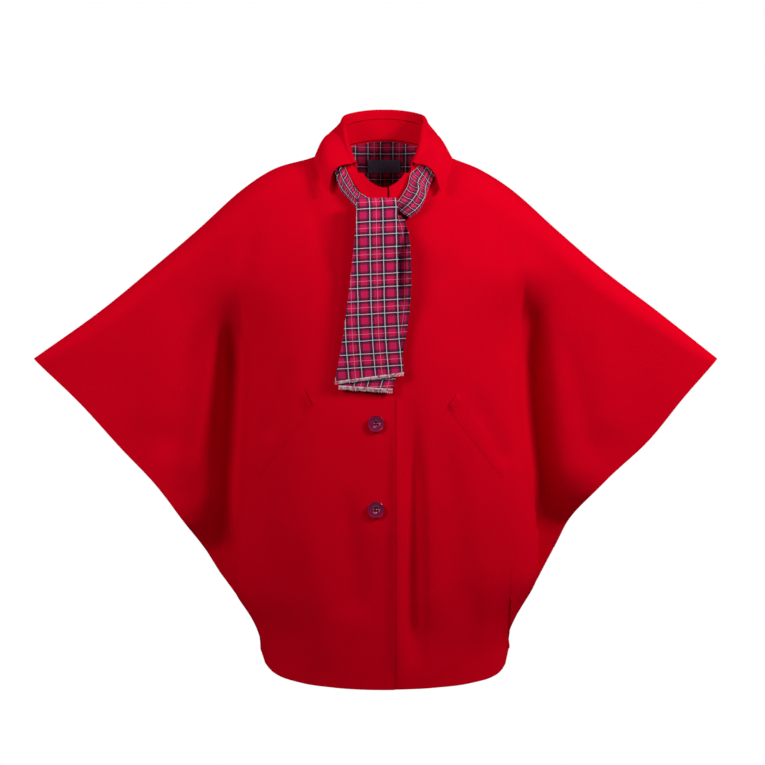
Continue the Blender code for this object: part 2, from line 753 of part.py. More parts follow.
def strand_skin(side, rows):
    """Seen side of a strand. across runs from its upper to its lower edge."""
    count = len(rows) - 1
    numbered = [(i / count, *row) for i, row in enumerate(rows)]

    def skin(across, down):
        up_turn, up, low_turn, low, lift, bulge = (
            read(numbered, 0, value, down) for value in range(1, 7)
        )
        turn, height = mix(up_turn, low_turn, across), mix(up, low, across)
        point, outward = beside_neck(side * turn, height, lift)
        pleat = 0.35 * math.cos(5 * math.pi * across)
        return point + outward * bulge * (math.sin(math.pi * across) + pleat - 0.35)

    return skin


def tail_skin(rows, wave, tilt):
    def skin(across, down):
        height, one, other, lift, curl = (read(rows, 0, value, down) for value in range(1, 6))
        out = mix(one, other, across)
        height -= tilt * (1 - across) * smooth((down - 0.3) / 0.7)
        lift += curl * smooth((across - CURL_FROM) / (1 - CURL_FROM))
        forward = depth(LEFT if out > 0 else RIGHT, abs(out), height, True)
        rise = wave * math.sin(2 * math.pi * (1.4 * across + 0.3 * down)) * (1 - 0.5 * down)
        return Vector((out, -forward - lift - rise, height))

    return skin


def fringe_skin(tail, length):
    """Threads below the lower edge of a tail, all fused to a narrow backing."""
    def skin(across, down):
        point = tail(across, 1)
        drop = mix(0, FRINGE_BACKING, 2 * down) if down < 0.5 else mix(FRINGE_BACKING, length, 2 * down - 1)
        point.z -= 1.5 * SEAM_GAP + drop
        return point

    return skin


def build_scarf(tartan, pale):
    for name, side, rows in (
        ("scarf_strand_right", RIGHT, RIGHT_STRAND),
        ("scarf_strand_left", LEFT, LEFT_STRAND),
    ):
        skin = strand_skin(side, rows)
        inner = moved_in(skin, SCARF_WALL, side)
        cloth_wall(name, STRAND_COLUMNS, STRAND_ROWS, skin, inner, tartan)
    for name, rows, wave, tilt, fringe in (
        ("front", FRONT_TAIL, 0.0012, FRONT_TILT, FRONT_FRINGE),
        ("rear", REAR_TAIL, 0.0008, REAR_TILT, REAR_FRINGE),
    ):
        skin = tail_skin(rows, wave, tilt)
        inner = moved_in(skin, SCARF_WALL, -1, (1 / TAIL_COLUMNS, 1 / TAIL_ROWS))
        cloth_wall(f"scarf_tail_{name}", TAIL_COLUMNS, TAIL_ROWS, skin, inner, tartan)
        threads = fringe_skin(skin, fringe)
        behind = lambda across, down: threads(across, down) + Vector((0, SCARF_WALL, 0))
        columns = 2 * FRINGE_STRANDS - 1
        cloth_wall(f"scarf_fringe_{name}", columns, 2, threads, behind, pale, comb=True)


def build_buttons(plum):
    """Round buttons with a raised rim and four holes, on the right front."""
    for number, height in enumerate(BUTTON_HEIGHTS, start=1):
        place = lay_on("front_right", -BUTTON_OUT, height, SEAM_GAP * 3)
        outward = (place - lay_on("front_right", -BUTTON_OUT, height, 0)).normalized()
        mesh = bmesh.new()
        bmesh.ops.create_cone(
            mesh, cap_ends=True, segments=20,
            radius1=BUTTON_RADIUS - 0.0008, radius2=BUTTON_RADIUS, depth=BUTTON_THICK,
        )
        top = max(mesh.faces, key=lambda face: face.calc_center_median().z)
        bmesh.ops.inset_individual(mesh, faces=[top], thickness=BUTTON_RIM, depth=-BUTTON_DISH)
        bmesh.ops.translate(mesh, verts=mesh.verts[:], vec=(0, 0, BUTTON_THICK / 2))
        data = bpy.data.meshes.new(f"button_{number}")
        mesh.to_mesh(data)
        mesh.free()
        button = add_object(f"button_{number}", data, plum)
        holes = bmesh.new()
        for turn in range(4):
            made = bmesh.ops.create_cone(
                holes, cap_ends=True, segments=6,
                radius1=BUTTON_HOLE_RADIUS, radius2=BUTTON_HOLE_RADIUS, depth=4 * BUTTON_THICK,
            )
            angle = math.radians(45 + 90 * turn)
            shift = Vector((math.cos(angle), math.sin(angle), 0)) * BUTTON_HOLE_SPREAD
            bmesh.ops.translate(holes, verts=made["verts"], vec=shift)
        hole_data = bpy.data.meshes.new("holes")
        holes.to_mesh(hole_data)
        holes.free()
        cutter = bpy.data.objects.new("holes", hole_data)
        bpy.data.collections["wheelchair_cape"].objects.link(cutter)
        cut = button.modifiers.new("holes", "BOOLEAN")
        cut.operation = "DIFFERENCE"
        cut.solver = "EXACT"
        cut.object = cutter
        bpy.context.view_layer.update()
        graph = bpy.context.evaluated_depsgraph_get()
        cut_data = bpy.data.meshes.new_from_object(button.evaluated_get(graph))
        button.modifiers.clear()
        button.data = cut_data
        bpy.data.objects.remove(cutter)
        turned = outward.to_track_quat("Z", "Y").to_matrix().to_4x4()
        button.data.transform(Matrix.Translation(place) @ turned)
        button.data.shade_smooth()
        button.data.set_sharp_from_angle(angle=math.radians(40))


def main():
    for old in list(bpy.data.objects):
        bpy.data.objects.remove(old)
    group = bpy.data.collections.new("wheelchair_cape")
    bpy.context.scene.collection.children.link(group)
    wool = material("red_wool", RED, 0.9)
    tartan = material("tartan", TARTAN_RED, 0.9)
    navy = material("navy_label", NAVY, 0.7)
    plum = material("plum_button", PLUM, 0.3)
    pale = material("fringe", PALE, 0.9)
    build_panels(wool)
    build_collar(wool)
    build_back_neck(tartan, navy)
    build_welts(wool)
    build_scarf(tartan, pale)
    build_buttons(plum)


main()
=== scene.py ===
# %% [markdown]
# # A red wool cape for a wheelchair user
# The cape has no sleeves. Two fronts and a back spread into wings that stay open
# along their lower edges, and a short seam closes each side below the arm.
# A collar rolls over round the neck, a tartan scarf runs under it, and four
# buttons close the front. This lesson dresses the solid model: every cloth piece
# becomes a thin shell with its folds, and every finish is made from nodes.

# %% Load the solid model
import math
import random

import bmesh
import bpy
from mathutils import Matrix, Vector
from mathutils.bvhtree import BVHTree


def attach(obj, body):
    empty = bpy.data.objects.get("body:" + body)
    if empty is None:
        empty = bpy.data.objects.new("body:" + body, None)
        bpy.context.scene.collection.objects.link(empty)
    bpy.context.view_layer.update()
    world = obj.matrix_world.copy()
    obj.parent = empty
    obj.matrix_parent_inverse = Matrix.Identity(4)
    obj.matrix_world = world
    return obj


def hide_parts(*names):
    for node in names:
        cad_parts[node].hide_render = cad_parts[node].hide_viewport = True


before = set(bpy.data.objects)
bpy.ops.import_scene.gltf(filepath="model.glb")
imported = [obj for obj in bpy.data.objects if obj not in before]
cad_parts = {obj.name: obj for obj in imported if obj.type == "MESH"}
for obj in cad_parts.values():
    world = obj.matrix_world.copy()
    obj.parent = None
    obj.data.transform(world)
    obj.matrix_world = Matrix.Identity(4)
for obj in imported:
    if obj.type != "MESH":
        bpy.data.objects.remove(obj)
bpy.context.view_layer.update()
print("solids:", ", ".join(sorted(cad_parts)))

# %% [markdown]
# ## Small tools for curves
# A garment is measured at a few places, and the cloth runs smoothly between them.
# `read` follows a table in the same way: it gives the value at any place between
# two rows, on a curve that never overshoots. Blender has curves of its own, but a
# short table is easier to read beside a tape measure.

# %% Curves through short tables
STEP = 0.001


def smooth(x):
    """0 below 0, 1 above 1 and an S between."""
    x = min(1.0, max(0.0, x))
    return x * x * (3 - 2 * x)


def mix(a, b, share):
    return a + (b - a) * share


def quarter(share):
    """A quarter circle that rises at once and levels off."""
    share = min(1.0, max(0.0, share))
    return math.sqrt(max(0.0, 1 - (1 - share) ** 2))


def read(rows, key, value, at):
    """Column value of a table at a place in column key, on a smooth curve."""
    xs = [row[key] for row in rows]
    ys = [row[value] for row in rows]
    if xs[0] > xs[-1]:
        xs.reverse()
        ys.reverse()
    if at <= xs[0]:
        return ys[0]
    if at >= xs[-1]:
        return ys[-1]
    i = max(j for j in range(len(xs) - 1) if xs[j] <= at)
    slopes = [(ys[j + 1] - ys[j]) / (xs[j + 1] - xs[j]) for j in range(len(xs) - 1)]

    def tangent(j):
        before = slopes[max(j - 1, 0)]
        after = slopes[min(j, len(slopes) - 1)]
        return 0.0 if before * after < 0 else (before + after) / 2

    width = xs[i + 1] - xs[i]
    t = (at - xs[i]) / width
    start, end = ys[i], ys[i + 1]
    leave, arrive = tangent(i) * width, tangent(i + 1) * width
    return (
        start * (2 * t**3 - 3 * t**2 + 1)
        + leave * (t**3 - 2 * t**2 + t)
        + end * (3 * t**2 - 2 * t**3)
        + arrive * (t**3 - t**2)
    )


print("half way up an S:", smooth(0.5))

# %% [markdown]
# ## The cut of the cape
# A cutter would lay the cape out flat and mark where its edges run: the seam over
# the arm, the open wing edge, the side seam and the hem. These tables hold those
# edges as they hang, seen from the front, and the body's width and depth at some
# heights. The edges are those of the solid model. The body's depth follows it too,
# apart from the lower front, which leans in a little more, as the worn cloth does.

# %% Edges and sections of the cape
WALL = 0.002
NECK_HALF = 0.078
NECK_POINT_HEIGHT = 0.015
FRONT_NECK_DROP = 0.090
BACK_NECK_RISE = 0.018
FRONT_CONE = 0.020
BACK_CONE = 0.052
CREST_EASE = 0.012
SHOULDER_ROUND = 0.170
SHOULDER_HALF = 0.310
RIGHT, LEFT = -1, 1
UNDERARM_FOLD_TOP = {RIGHT: -0.185, LEFT: -0.160}
UNDERARM_FOLD_FULL = {RIGHT: -0.325, LEFT: -0.300}
LAP = {RIGHT: 0.0155, LEFT: 0.024}
LAP_STEP = WALL + 0.0008
LAP_EASE = (0.022, 0.075)
NECK_SHARE = 10 / 27

# Overarm seam from the neck point to the wing tip.
# height, out on the right, out on the left
OVERARM = (
    (0.015, 0.078, 0.078),
    (0.002, 0.112, 0.104),
    (-0.015, 0.169, 0.146),
    (-0.046, 0.217, 0.195),
    (-0.108, 0.286, 0.265),
    (-0.169, 0.358, 0.336),
    (-0.231, 0.434, 0.418),
    (-0.305, 0.538, 0.512),
)
# Open wing edge from the tip to the top of the side seam.
# share, right out, right height, left out, left height
CUFF = (
    (0.0, 0.538, -0.305, 0.512, -0.305),
    (0.2, 0.466, -0.371, 0.458, -0.364),
    (0.4, 0.402, -0.440, 0.403, -0.430),
    (0.6, 0.345, -0.500, 0.340, -0.488),
    (0.8, 0.294, -0.570, 0.291, -0.543),
    (1.0, 0.250, -0.640, 0.262, -0.597),
)
# Hem from under the neck point round the corner and up the side seam.
# share, right out, right height, left out, left height
FOOT = (
    (0.00, 0.070, -0.797, 0.070, -0.797),
    (0.18, 0.126, -0.792, 0.130, -0.793),
    (0.32, 0.170, -0.781, 0.176, -0.783),
    (0.38, 0.187, -0.766, 0.190, -0.768),
    (0.52, 0.192, -0.735, 0.191, -0.735),
    (0.68, 0.204, -0.706, 0.203, -0.704),
    (0.84, 0.227, -0.672, 0.232, -0.655),
    (1.00, 0.250, -0.640, 0.262, -0.597),
)
HEM_CENTRE = -0.799
BACK_HEM_RISE = 0.012
CORNER_SHARE = 0.38
# Level sections of the body, from the shoulders down.
# height, front depth, back depth, squareness
SECTIONS = (
    (0.050, 0.074, 0.098, 2.0),
    (-0.060, 0.084, 0.104, 2.0),
    (-0.130, 0.102, 0.110, 2.1),
    (-0.220, 0.121, 0.115, 2.2),
    (-0.310, 0.132, 0.113, 2.4),
    (-0.450, 0.138, 0.105, 2.6),
    (-0.560, 0.137, 0.108, 2.5),
    (-0.640, 0.129, 0.110, 2.4),
    (-0.710, 0.121, 0.108, 2.2),
    (-0.830, 0.103, 0.104, 2.2),
)
# Columns of the cloth from the neck point to the wing tip.
# share, out on the overarm seam on the right, on the left, place along FOOT
WING_PLACES = (
    (0 / 17, 0.078, 0.078, 0.00),
    (1 / 17, 0.112, 0.112, 0.10),
    (2 / 17, 0.140, 0.140, 0.20),
    (3 / 17, 0.162, 0.162, 0.30),
    (4 / 17, 0.180, 0.180, 0.38),
    (5 / 17, 0.192, 0.192, 0.56),
    (6 / 17, 0.202, 0.202, 0.74),
    (7 / 17, 0.211, 0.211, 0.84),
    (8 / 17, 0.220, 0.220, 0.88),
    (9 / 17, 0.230, 0.230, 0.90),
    (10 / 17, 0.244, 0.243, 0.92),
    (11 / 17, 0.266, 0.263, 0.935),
    (12 / 17, 0.298, 0.292, 0.95),
    (13 / 17, 0.338, 0.328, 0.96),
    (14 / 17, 0.386, 0.372, 0.97),
    (15 / 17, 0.438, 0.420, 0.98),
    (16 / 17, 0.490, 0.467, 0.99),
    (17 / 17, 0.538, 0.512, 1.00),
)
CORNER_PLACE = 4 / 17
FOLD_PLACE = 8 / 17
# The folds beside the body lean in a little between the arm and the side seam.
# height, step in on the right, step in on the left
FOLD_STEPS = (
    (-0.150, 0.004, 0.008),
    (-0.260, 0.010, 0.019),
    (-0.380, 0.010, 0.018),
    (-0.460, 0.009, 0.012),
    (-0.540, 0.006, 0.004),
    (-0.620, 0.000, 0.000),
)
WING_DEPTH = 0.048
TIP_DEPTH = 0.0045
LEAST_DEPTH = 0.0042
VALLEY_SHARE = 0.62
VALLEY_OUT = 0.014
VALLEY_WIDTH = 0.024
VALLEY_TOP = -0.160
VALLEY_FULL = -0.330
UNDERARM_FADE = 0.13
SEAM_HALF_GAP = 0.00015
HALF_EASE = 0.003
print("wing tip to wing tip:", round(OVERARM[-1][1] + OVERARM[-1][2], 3), "m")

# %% [markdown]
# ## Folds
# Thick wool hangs in a few soft folds. Each row below is one of them: a ridge or
# a trough that starts at one place, runs down to another, widens on the way and
# fades at both ends. A cloth simulation would put them anywhere, so they are placed
# one by one, uneven in length and depth, as on the worn cape: most come from the arms,
# and some run up from the buttoned edge.

# %% Table of folds
# side, top out, top height, foot out, foot height, half width, lift
FRONT_FOLDS = (
    (RIGHT, 0.236, -0.200, 0.302, -0.520, 0.016, 0.0080),
    (RIGHT, 0.272, -0.230, 0.330, -0.470, 0.022, -0.0055),
    (RIGHT, 0.330, -0.190, 0.352, -0.430, 0.030, 0.0030),
    (RIGHT, 0.144, -0.300, 0.176, -0.430, 0.015, -0.0045),
    (RIGHT, 0.165, -0.230, 0.214, -0.520, 0.018, 0.0035),
    (RIGHT, 0.056, -0.480, 0.044, -0.700, 0.022, -0.0040),
    (RIGHT, 0.108, -0.520, 0.096, -0.780, 0.026, 0.0025),
    (RIGHT, 0.112, -0.060, 0.066, -0.190, 0.016, -0.0025),
    (RIGHT, 0.190, -0.090, 0.236, -0.260, 0.020, -0.0030),
    (LEFT, 0.017, -0.330, 0.019, -0.800, 0.010, 0.0052),
    (LEFT, 0.043, -0.350, 0.045, -0.780, 0.014, -0.0095),
    (LEFT, 0.068, -0.400, 0.072, -0.720, 0.014, 0.0035),
    (LEFT, 0.092, -0.390, 0.122, -0.720, 0.022, -0.0045),
    (LEFT, 0.130, -0.340, 0.184, -0.470, 0.014, -0.0045),
    (LEFT, 0.155, -0.560, 0.150, -0.770, 0.020, 0.0030),
    (LEFT, 0.108, -0.070, 0.070, -0.200, 0.015, -0.0025),
    (LEFT, 0.178, -0.100, 0.220, -0.270, 0.018, -0.0030),
    (LEFT, 0.250, -0.260, 0.300, -0.500, 0.016, 0.0012),
    (LEFT, 0.272, -0.250, 0.322, -0.480, 0.018, -0.0025),
    (LEFT, 0.320, -0.200, 0.345, -0.440, 0.030, 0.0030),
)
BACK_FOLDS = (
    (RIGHT, 0.240, -0.200, 0.300, -0.520, 0.018, 0.0080),
    (RIGHT, 0.278, -0.230, 0.335, -0.470, 0.020, -0.0060),
    (RIGHT, 0.330, -0.180, 0.356, -0.420, 0.028, 0.0035),
    (RIGHT, 0.120, -0.220, 0.100, -0.740, 0.026, -0.0090),
    (RIGHT, 0.158, -0.160, 0.190, -0.520, 0.018, 0.0040),
    (RIGHT, 0.070, -0.300, 0.058, -0.780, 0.022, 0.0060),
    (RIGHT, 0.034, -0.420, 0.030, -0.790, 0.014, -0.0040),
    (LEFT, 0.010, -0.260, 0.012, -0.780, 0.026, -0.0060),
    (LEFT, 0.050, -0.480, 0.046, -0.790, 0.014, 0.0035),
    (LEFT, 0.090, -0.240, 0.080, -0.760, 0.024, 0.0070),
    (LEFT, 0.136, -0.210, 0.124, -0.740, 0.024, -0.0090),
    (LEFT, 0.168, -0.180, 0.196, -0.500, 0.017, 0.0040),
    (LEFT, 0.236, -0.210, 0.290, -0.500, 0.016, 0.0080),
    (LEFT, 0.268, -0.230, 0.318, -0.470, 0.020, -0.0060),
    (LEFT, 0.318, -0.190, 0.340, -0.430, 0.028, 0.0030),
)


FOLD_WIDTH_AT_TOP = 0.6
FOLD_WIDTH_GAIN = 0.6
FADE_IN, FADE_OUT = 3, 5
MIDDLE_REACH = 0.05


def fold_lift(folds, side, out, height):
    """How far the folds lift or sink the cloth at a place."""
    lift = 0.0
    for row_side, top_out, top, foot_out, foot, width, rise in folds:
        if row_side != side and abs(out) > MIDDLE_REACH:
            continue
        here = out if row_side == side else -out
        down = (top - height) / (top - foot)
        if not 0 < down < 1:
            continue
        spread = width * (FOLD_WIDTH_AT_TOP + FOLD_WIDTH_GAIN * down)
        across = (here - mix(top_out, foot_out, down)) / spread
        lift += rise * math.exp(-across * across) * smooth(min(down * FADE_IN, (1 - down) * FADE_OUT))
    return lift


print("folds:", len(FRONT_FOLDS), "in front,", len(BACK_FOLDS), "behind")

# %% [markdown]
# ## The draped form
# Cloth that hangs over shoulders is round at the top, full at the chest and drawn
# in by deep folds beside the body, where each wing leaves it. The form is worked out
# from the seams: how high the cloth's ridge lies at each place, and how wide the
# body is at each height. Above the side seam the fold is the body's edge.

# %% Heights and widths of the form
FOLD_FOOT_ALONG = 0.88


def side_column(side, right_column, left_column):
    return right_column if side == RIGHT else left_column


def overarm_height(side, out):
    return read(OVERARM, side_column(side, 1, 2), 0, abs(out))


def neck_level(out):
    """1 at the middle of the neck hole, 0 at the neck point."""
    return max(0.0, 1 - (out / NECK_HALF) ** 2)


def neck_height(out, front):
    rise = -FRONT_NECK_DROP if front else BACK_NECK_RISE
    return NECK_POINT_HEIGHT + rise * neck_level(out)


def crest_height(side, out, front):
    """Height of the ridge between front and back, carried on over the neck hole."""
    if abs(out) >= NECK_HALF:
        return overarm_height(side, out)
    return NECK_POINT_HEIGHT + (FRONT_CONE if front else BACK_CONE) * neck_level(out)


def body_half(side, height):
    """Half width of the body: the side seam low down, the turned fold above it."""
    out, up = side_column(side, 1, 3), side_column(side, 2, 4)
    top = read(WING_PLACES, 0, side_column(side, 1, 2), FOLD_PLACE)
    fold_foot = read(FOOT, 0, up, FOLD_FOOT_ALONG)
    down = (overarm_height(side, top) - height) / (overarm_height(side, top) - fold_foot)
    folded = mix(top, read(FOOT, 0, out, FOLD_FOOT_ALONG), down)
    folded -= read(FOLD_STEPS, 0, side_column(side, 1, 2), height)
    seamed = read(FOOT[3:], up, out, height)
    least = min(folded, seamed)
    return least - HALF_EASE * math.exp(-abs(folded - seamed) / (2 * HALF_EASE))


print("half width at the waist:", round(body_half(LEFT, -0.45), 3), "m on the left")

# %% [markdown]
# The body and the wing are two round forms that meet in a valley. Two such depths
# can be joined by the larger of them, but that leaves a crease. Adding their fourth
# powers and taking the root joins them softly and keeps each form true elsewhere.

# %% How far the cloth stands from its seams
DRAPE_POWER = 0.75
WING_POWER = 2.2
WING_ROUND_LEAST = 0.009
WING_ROUND_SHARE = 1.1
WING_LOW_FADE = (0.01, 0.10)
SEAM_ROUND = 0.012
FOLD_FADE_DROP = 0.05
FOLD_FADE_DEPTH = (0.004, 0.02)


def depth(side, out, height, front):
    """How far the cloth stands forward (or back) of the plane through the seams."""
    out_abs = abs(out)
    crest = 0.0
    for beside, weight in ((-CREST_EASE, 0.25), (0.0, 0.5), (CREST_EASE, 0.25)):
        crest += weight * crest_height(side, out_abs + beside, front)
    drop = max(0.0, crest - height)
    half = body_half(side, height)
    square = read(SECTIONS, 0, 3, height)
    full = read(SECTIONS, 0, 1 if front else 2, height)
    folded = max(0.0, 1 - min(1.0, out_abs / half) ** square) ** (1 / square)
    draped = max(0.0, 1 - min(1.0, out_abs / SHOULDER_HALF) ** 2) ** DRAPE_POWER
    fold_top = UNDERARM_FOLD_TOP[side]
    fold = smooth((fold_top - height) / (fold_top - UNDERARM_FOLD_FULL[side]))
    body = full * mix(draped, folded, fold) * quarter(drop / SHOULDER_ROUND)

    tip = OVERARM[-1][side_column(side, 1, 2)]
    wing = TIP_DEPTH + WING_DEPTH * math.sqrt(max(0.0, 1 - (out_abs / tip) ** WING_POWER))
    low = CUFF[-1]
    under_out, under_height = low[side_column(side, 1, 3)], low[side_column(side, 2, 4)]
    away = math.hypot(out_abs - under_out, height - under_height)
    deep = smooth((VALLEY_TOP - height) / (VALLEY_TOP - VALLEY_FULL))
    valley = deep * math.exp(-(((out_abs - half - VALLEY_OUT) / VALLEY_WIDTH) ** 2))
    wing *= quarter(drop / max(WING_ROUND_LEAST, WING_ROUND_SHARE * wing))
    wing *= 1 - VALLEY_SHARE * valley
    low_fade = smooth((height - under_height + WING_LOW_FADE[0]) / WING_LOW_FADE[1])
    wing *= smooth(away / UNDERARM_FADE) * low_fade

    whole = (body**4 + wing**4) ** 0.25
    whole = max(whole, LEAST_DEPTH * quarter(min(away, drop) / SEAM_ROUND))
    soft = smooth(drop / FOLD_FADE_DROP) * smooth((whole - FOLD_FADE_DEPTH[0]) / FOLD_FADE_DEPTH[1])
    return whole + soft * fold_lift(FRONT_FOLDS if front else BACK_FOLDS, side, out, height)


print("chest depth:", round(depth(LEFT, 0.05, -0.31, True), 3), "m in front")

# %% [markdown]
# ## From pattern to cloth
# A pattern piece is a flat grid. Each of its points has two shares: how far across
# the piece it lies and how far down. `flat_point` finds its place between the top
# edge and the lower edge, and `on_body` moves it out to the draped form. Working
# from the pattern keeps the edges exact and lets a weave follow the threads.

# %% Places on the front and back panels
ROW_EVENING = 0.8


def wing_place(side, share):
    value = side_column(side, 1, 2)
    count = len(WING_PLACES) - 1
    i = min(int(share * count), count - 1)
    near, far, part = WING_PLACES[i], WING_PLACES[i + 1], share * count - i
    return mix(near[value], far[value], part), mix(near[3], far[3], part)


def flat_point(side, across, down, front):
    """Place on the flat front view, as (out, height), of a point of the pattern."""
    out_column, up_column = side_column(side, 1, 3), side_column(side, 2, 4)
    rise = 0.0 if front else BACK_HEM_RISE
    share = (across - NECK_SHARE) / (1 - NECK_SHARE)
    if share <= 0:
        inner = -LAP[side] if front else 0.0
        turn = across / NECK_SHARE
        top_out = mix(inner, NECK_HALF, math.sin(math.pi / 2 * turn))
        foot_out = mix(inner, FOOT[0][1], turn)
        top = top_out, neck_height(top_out, front)
        sag = (FOOT[0][2] - HEM_CENTRE) * (foot_out / FOOT[0][1]) ** 2
        foot = foot_out, HEM_CENTRE + sag + rise
    else:
        top_out, along = wing_place(side, share)
        top = top_out, overarm_height(side, top_out)
        height = read(FOOT, 0, up_column, along)
        foot = read(FOOT, 0, out_column, along), height + rise * (1 - smooth(along / CORNER_SHARE))
    out, height = mix(top[0], foot[0], down), mix(top[1], foot[1], down)
    spread = max(0.0, (share - FOLD_PLACE) / (1 - FOLD_PLACE)) ** 2
    tip, low = CUFF[0], CUFF[-1]
    bend_out = read(CUFF, 0, out_column, down) - mix(tip[out_column], low[out_column], down)
    bend_up = read(CUFF, 0, up_column, down) - mix(tip[up_column], low[up_column], down)
    return out + spread * bend_out, height + spread * bend_up


def rows_evened(down):
    """Rows closer together at the top seam and at the hem."""
    return mix(down, 0.5 - 0.5 * math.cos(math.pi * down), ROW_EVENING)


def sewn_edge(across, down):
    """True on the overarm seam and on the side seam of a panel."""
    share = (across - NECK_SHARE) / (1 - NECK_SHARE)
    at_top = down < STEP / 2 and share > -STEP
    at_side = down > 1 - STEP / 2 and share > CORNER_PLACE - STEP
    return at_top or at_side


def on_body(side, out, height, front=True):
    """Point on the outside of the cape. The plane of the seams is y = 0."""
    forward = depth(side, out, height, front) + SEAM_HALF_GAP
    if front and side == LEFT:
        ease = smooth((out - LAP_EASE[0]) / (LAP_EASE[1] - LAP_EASE[0]))
        forward -= LAP_STEP * (1 - ease)
    return Vector((side * out, -forward if front else forward, height))


def panel_point(side, across, down, front):
    out, height = flat_point(side, across, rows_evened(down), front)
    point = on_body(side, out, height, front)
    if sewn_edge(across, down):
        point.y = math.copysign(SEAM_HALF_GAP, point.y)
    return point


print("left wing tip:", [round(v, 3) for v in panel_point(LEFT, 1, 0, True)])

# %% [markdown]
# ## A tool that makes a cloth shell
# Every cloth piece here starts as one flat grid from Blender's grid operator. The
# grid's points remember their shares across and down the pattern and move to the
# piece's outer skin. The grid is then extruded once, and the copy moves inwards by
# the thickness of the cloth. Where two pieces are sewn together, the edge of the
# inner skin stays in the plane of the seam, so that neighbours never cross.

# %% Steps of the inner skin
MIDDLE_PULL = 0.8
INSIDE_TOP = -0.1
INSIDE_DROP = 0.05


def seam_step(skin, across, down, step):
    """Level direction into the cloth for a point whose edge lies in the seam plane."""
    point = skin(across, down)
    along = skin(min(1.0, across + step), down) - skin(max(0.0, across - step), down)
    inwards = Vector((-along.z, 0.0, along.x)).normalized()
    inside = Vector((MIDDLE_PULL * point.x, 0.0, min(INSIDE_TOP, point.z - INSIDE_DROP)))
    return inwards if inwards.dot(inside - point) > 0 else -inwards


def shares_of(face, shares, number):
    """Middle of a face of the grid, as (across, down)."""
    corners = [shares[vert[number]] for vert in face.verts]
    return sum(c[0] for c in corners) / len(corners), sum(c[1] for c in corners) / len(corners)


def from_the_middle(point):
    return Vector((point.x * 0.2, point.y, 0.02))


print("outwards at the left wing:", [round(v, 3) for v in from_the_middle(Vector((0.3, -0.1, 0)))])

# %% [markdown]
# A grid, its skin and its thickness could be three modifiers, but then the place
# of each point on the woven cloth would be lost. Here the grid is laid out first,
# its map is filled while the shares are known, and only then it gets its wall.

# %% Grid, skin and thickness
EDGE_ANGLE = math.radians(50)
GRID_HALF = 0.5


def cloth(name, columns, rows, skin, finish, outward, wall=WALL, uv=None, seam=None, trim=None):
    """Makes a sheet with a wall. uv(across, down, point) is the place on the woven cloth."""
    mesh = bmesh.new()
    bmesh.ops.create_grid(mesh, x_segments=columns, y_segments=rows, size=GRID_HALF, calc_uvs=True)
    uv_layer = mesh.loops.layers.uv.verify()
    number = mesh.verts.layers.int.new("number")
    mesh.verts.index_update()
    shares = []
    for vert in mesh.verts:
        across, down = vert.co.x + GRID_HALF, GRID_HALF - vert.co.y
        shares.append((across, down))
        vert[number] = vert.index
        vert.co = skin(across, down)
    if uv:
        for face in mesh.faces:
            for loop in face.loops:
                loop[uv_layer].uv = uv(*shares[loop.vert[number]], loop.vert.co)
    if trim:
        gaps = [face for face in mesh.faces if trim(*shares_of(face, shares, number))]
        bmesh.ops.delete(mesh, geom=gaps, context="FACES")
    mesh.normal_update()
    if sum(face.normal.dot(outward(face.calc_center_median())) for face in mesh.faces) < 0:
        bmesh.ops.reverse_faces(mesh, faces=mesh.faces[:])
        mesh.normal_update()
    area = sum(face.calc_area() for face in mesh.faces)
    steps = {}
    for vert in mesh.verts:
        across, down = shares[vert[number]]
        sewn = seam and seam(across, down)
        steps[vert[number]] = seam_step(skin, across, down, 1 / columns) if sewn else -vert.normal
    made = bmesh.ops.extrude_face_region(mesh, geom=mesh.faces[:], use_keep_orig=True)
    for item in made["geom"]:
        if isinstance(item, bmesh.types.BMVert):
            item.co += wall * steps[item[number]]
    bmesh.ops.recalc_face_normals(mesh, faces=mesh.faces[:])
    if mesh.calc_volume(signed=True) < 0:
        bmesh.ops.reverse_faces(mesh, faces=mesh.faces[:])
    data = bpy.data.meshes.new(name)
    mesh.to_mesh(data)
    mesh.free()
    data.shade_smooth()
    data.set_sharp_from_angle(angle=EDGE_ANGLE)
    data.materials.append(finish)
    piece = bpy.data.objects.new(name, data)
    bpy.context.scene.collection.objects.link(piece)
    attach(piece, "root")
    print(f"{name}: {area:.3f} m2, {len(data.polygons)} faces")
    return piece


print("sharp edges from", round(math.degrees(EDGE_ANGLE)), "degrees")

# %% [markdown]
# ## Wool melton
# Melton is woven and then milled until its surface felts over: no weave shows,
# only short fibres that lie in all directions and catch the light at the edges.
# It could be painted as a picture, but nodes stay sharp at any distance. These
# small tools add a node, a sum or a mix of colours, and make a group or material.

# %% Node tools
SOFT_GLOSS = 0.12


def new_group(name, inputs, outputs):
    """An empty node group with named sockets: (name, kind, value) in, (name, kind) out."""
    group = bpy.data.node_groups.new(name, "ShaderNodeTree")
    for socket, kind, value in inputs:
        made = group.interface.new_socket(socket, in_out="INPUT", socket_type=kind)
        if value is not None:
            made.default_value = value
    for socket, kind in outputs:
        group.interface.new_socket(socket, in_out="OUTPUT", socket_type=kind)
    return group, group.nodes.new("NodeGroupInput"), group.nodes.new("NodeGroupOutput")


def node(tree, kind, links=(), **settings):
    """Adds a node. links are (input, socket or value) pairs."""
    made = tree.nodes.new(kind)
    for key, value in settings.items():
        setattr(made, key, value)
    for socket, source in links:
        if isinstance(source, bpy.types.NodeSocket):
            tree.links.new(source, made.inputs[socket])
        else:
            made.inputs[socket].default_value = source
    return made


def sum_node(tree, operation, *values):
    """Adds a maths node and returns its result."""
    return node(tree, "ShaderNodeMath", enumerate(values), operation=operation).outputs[0]


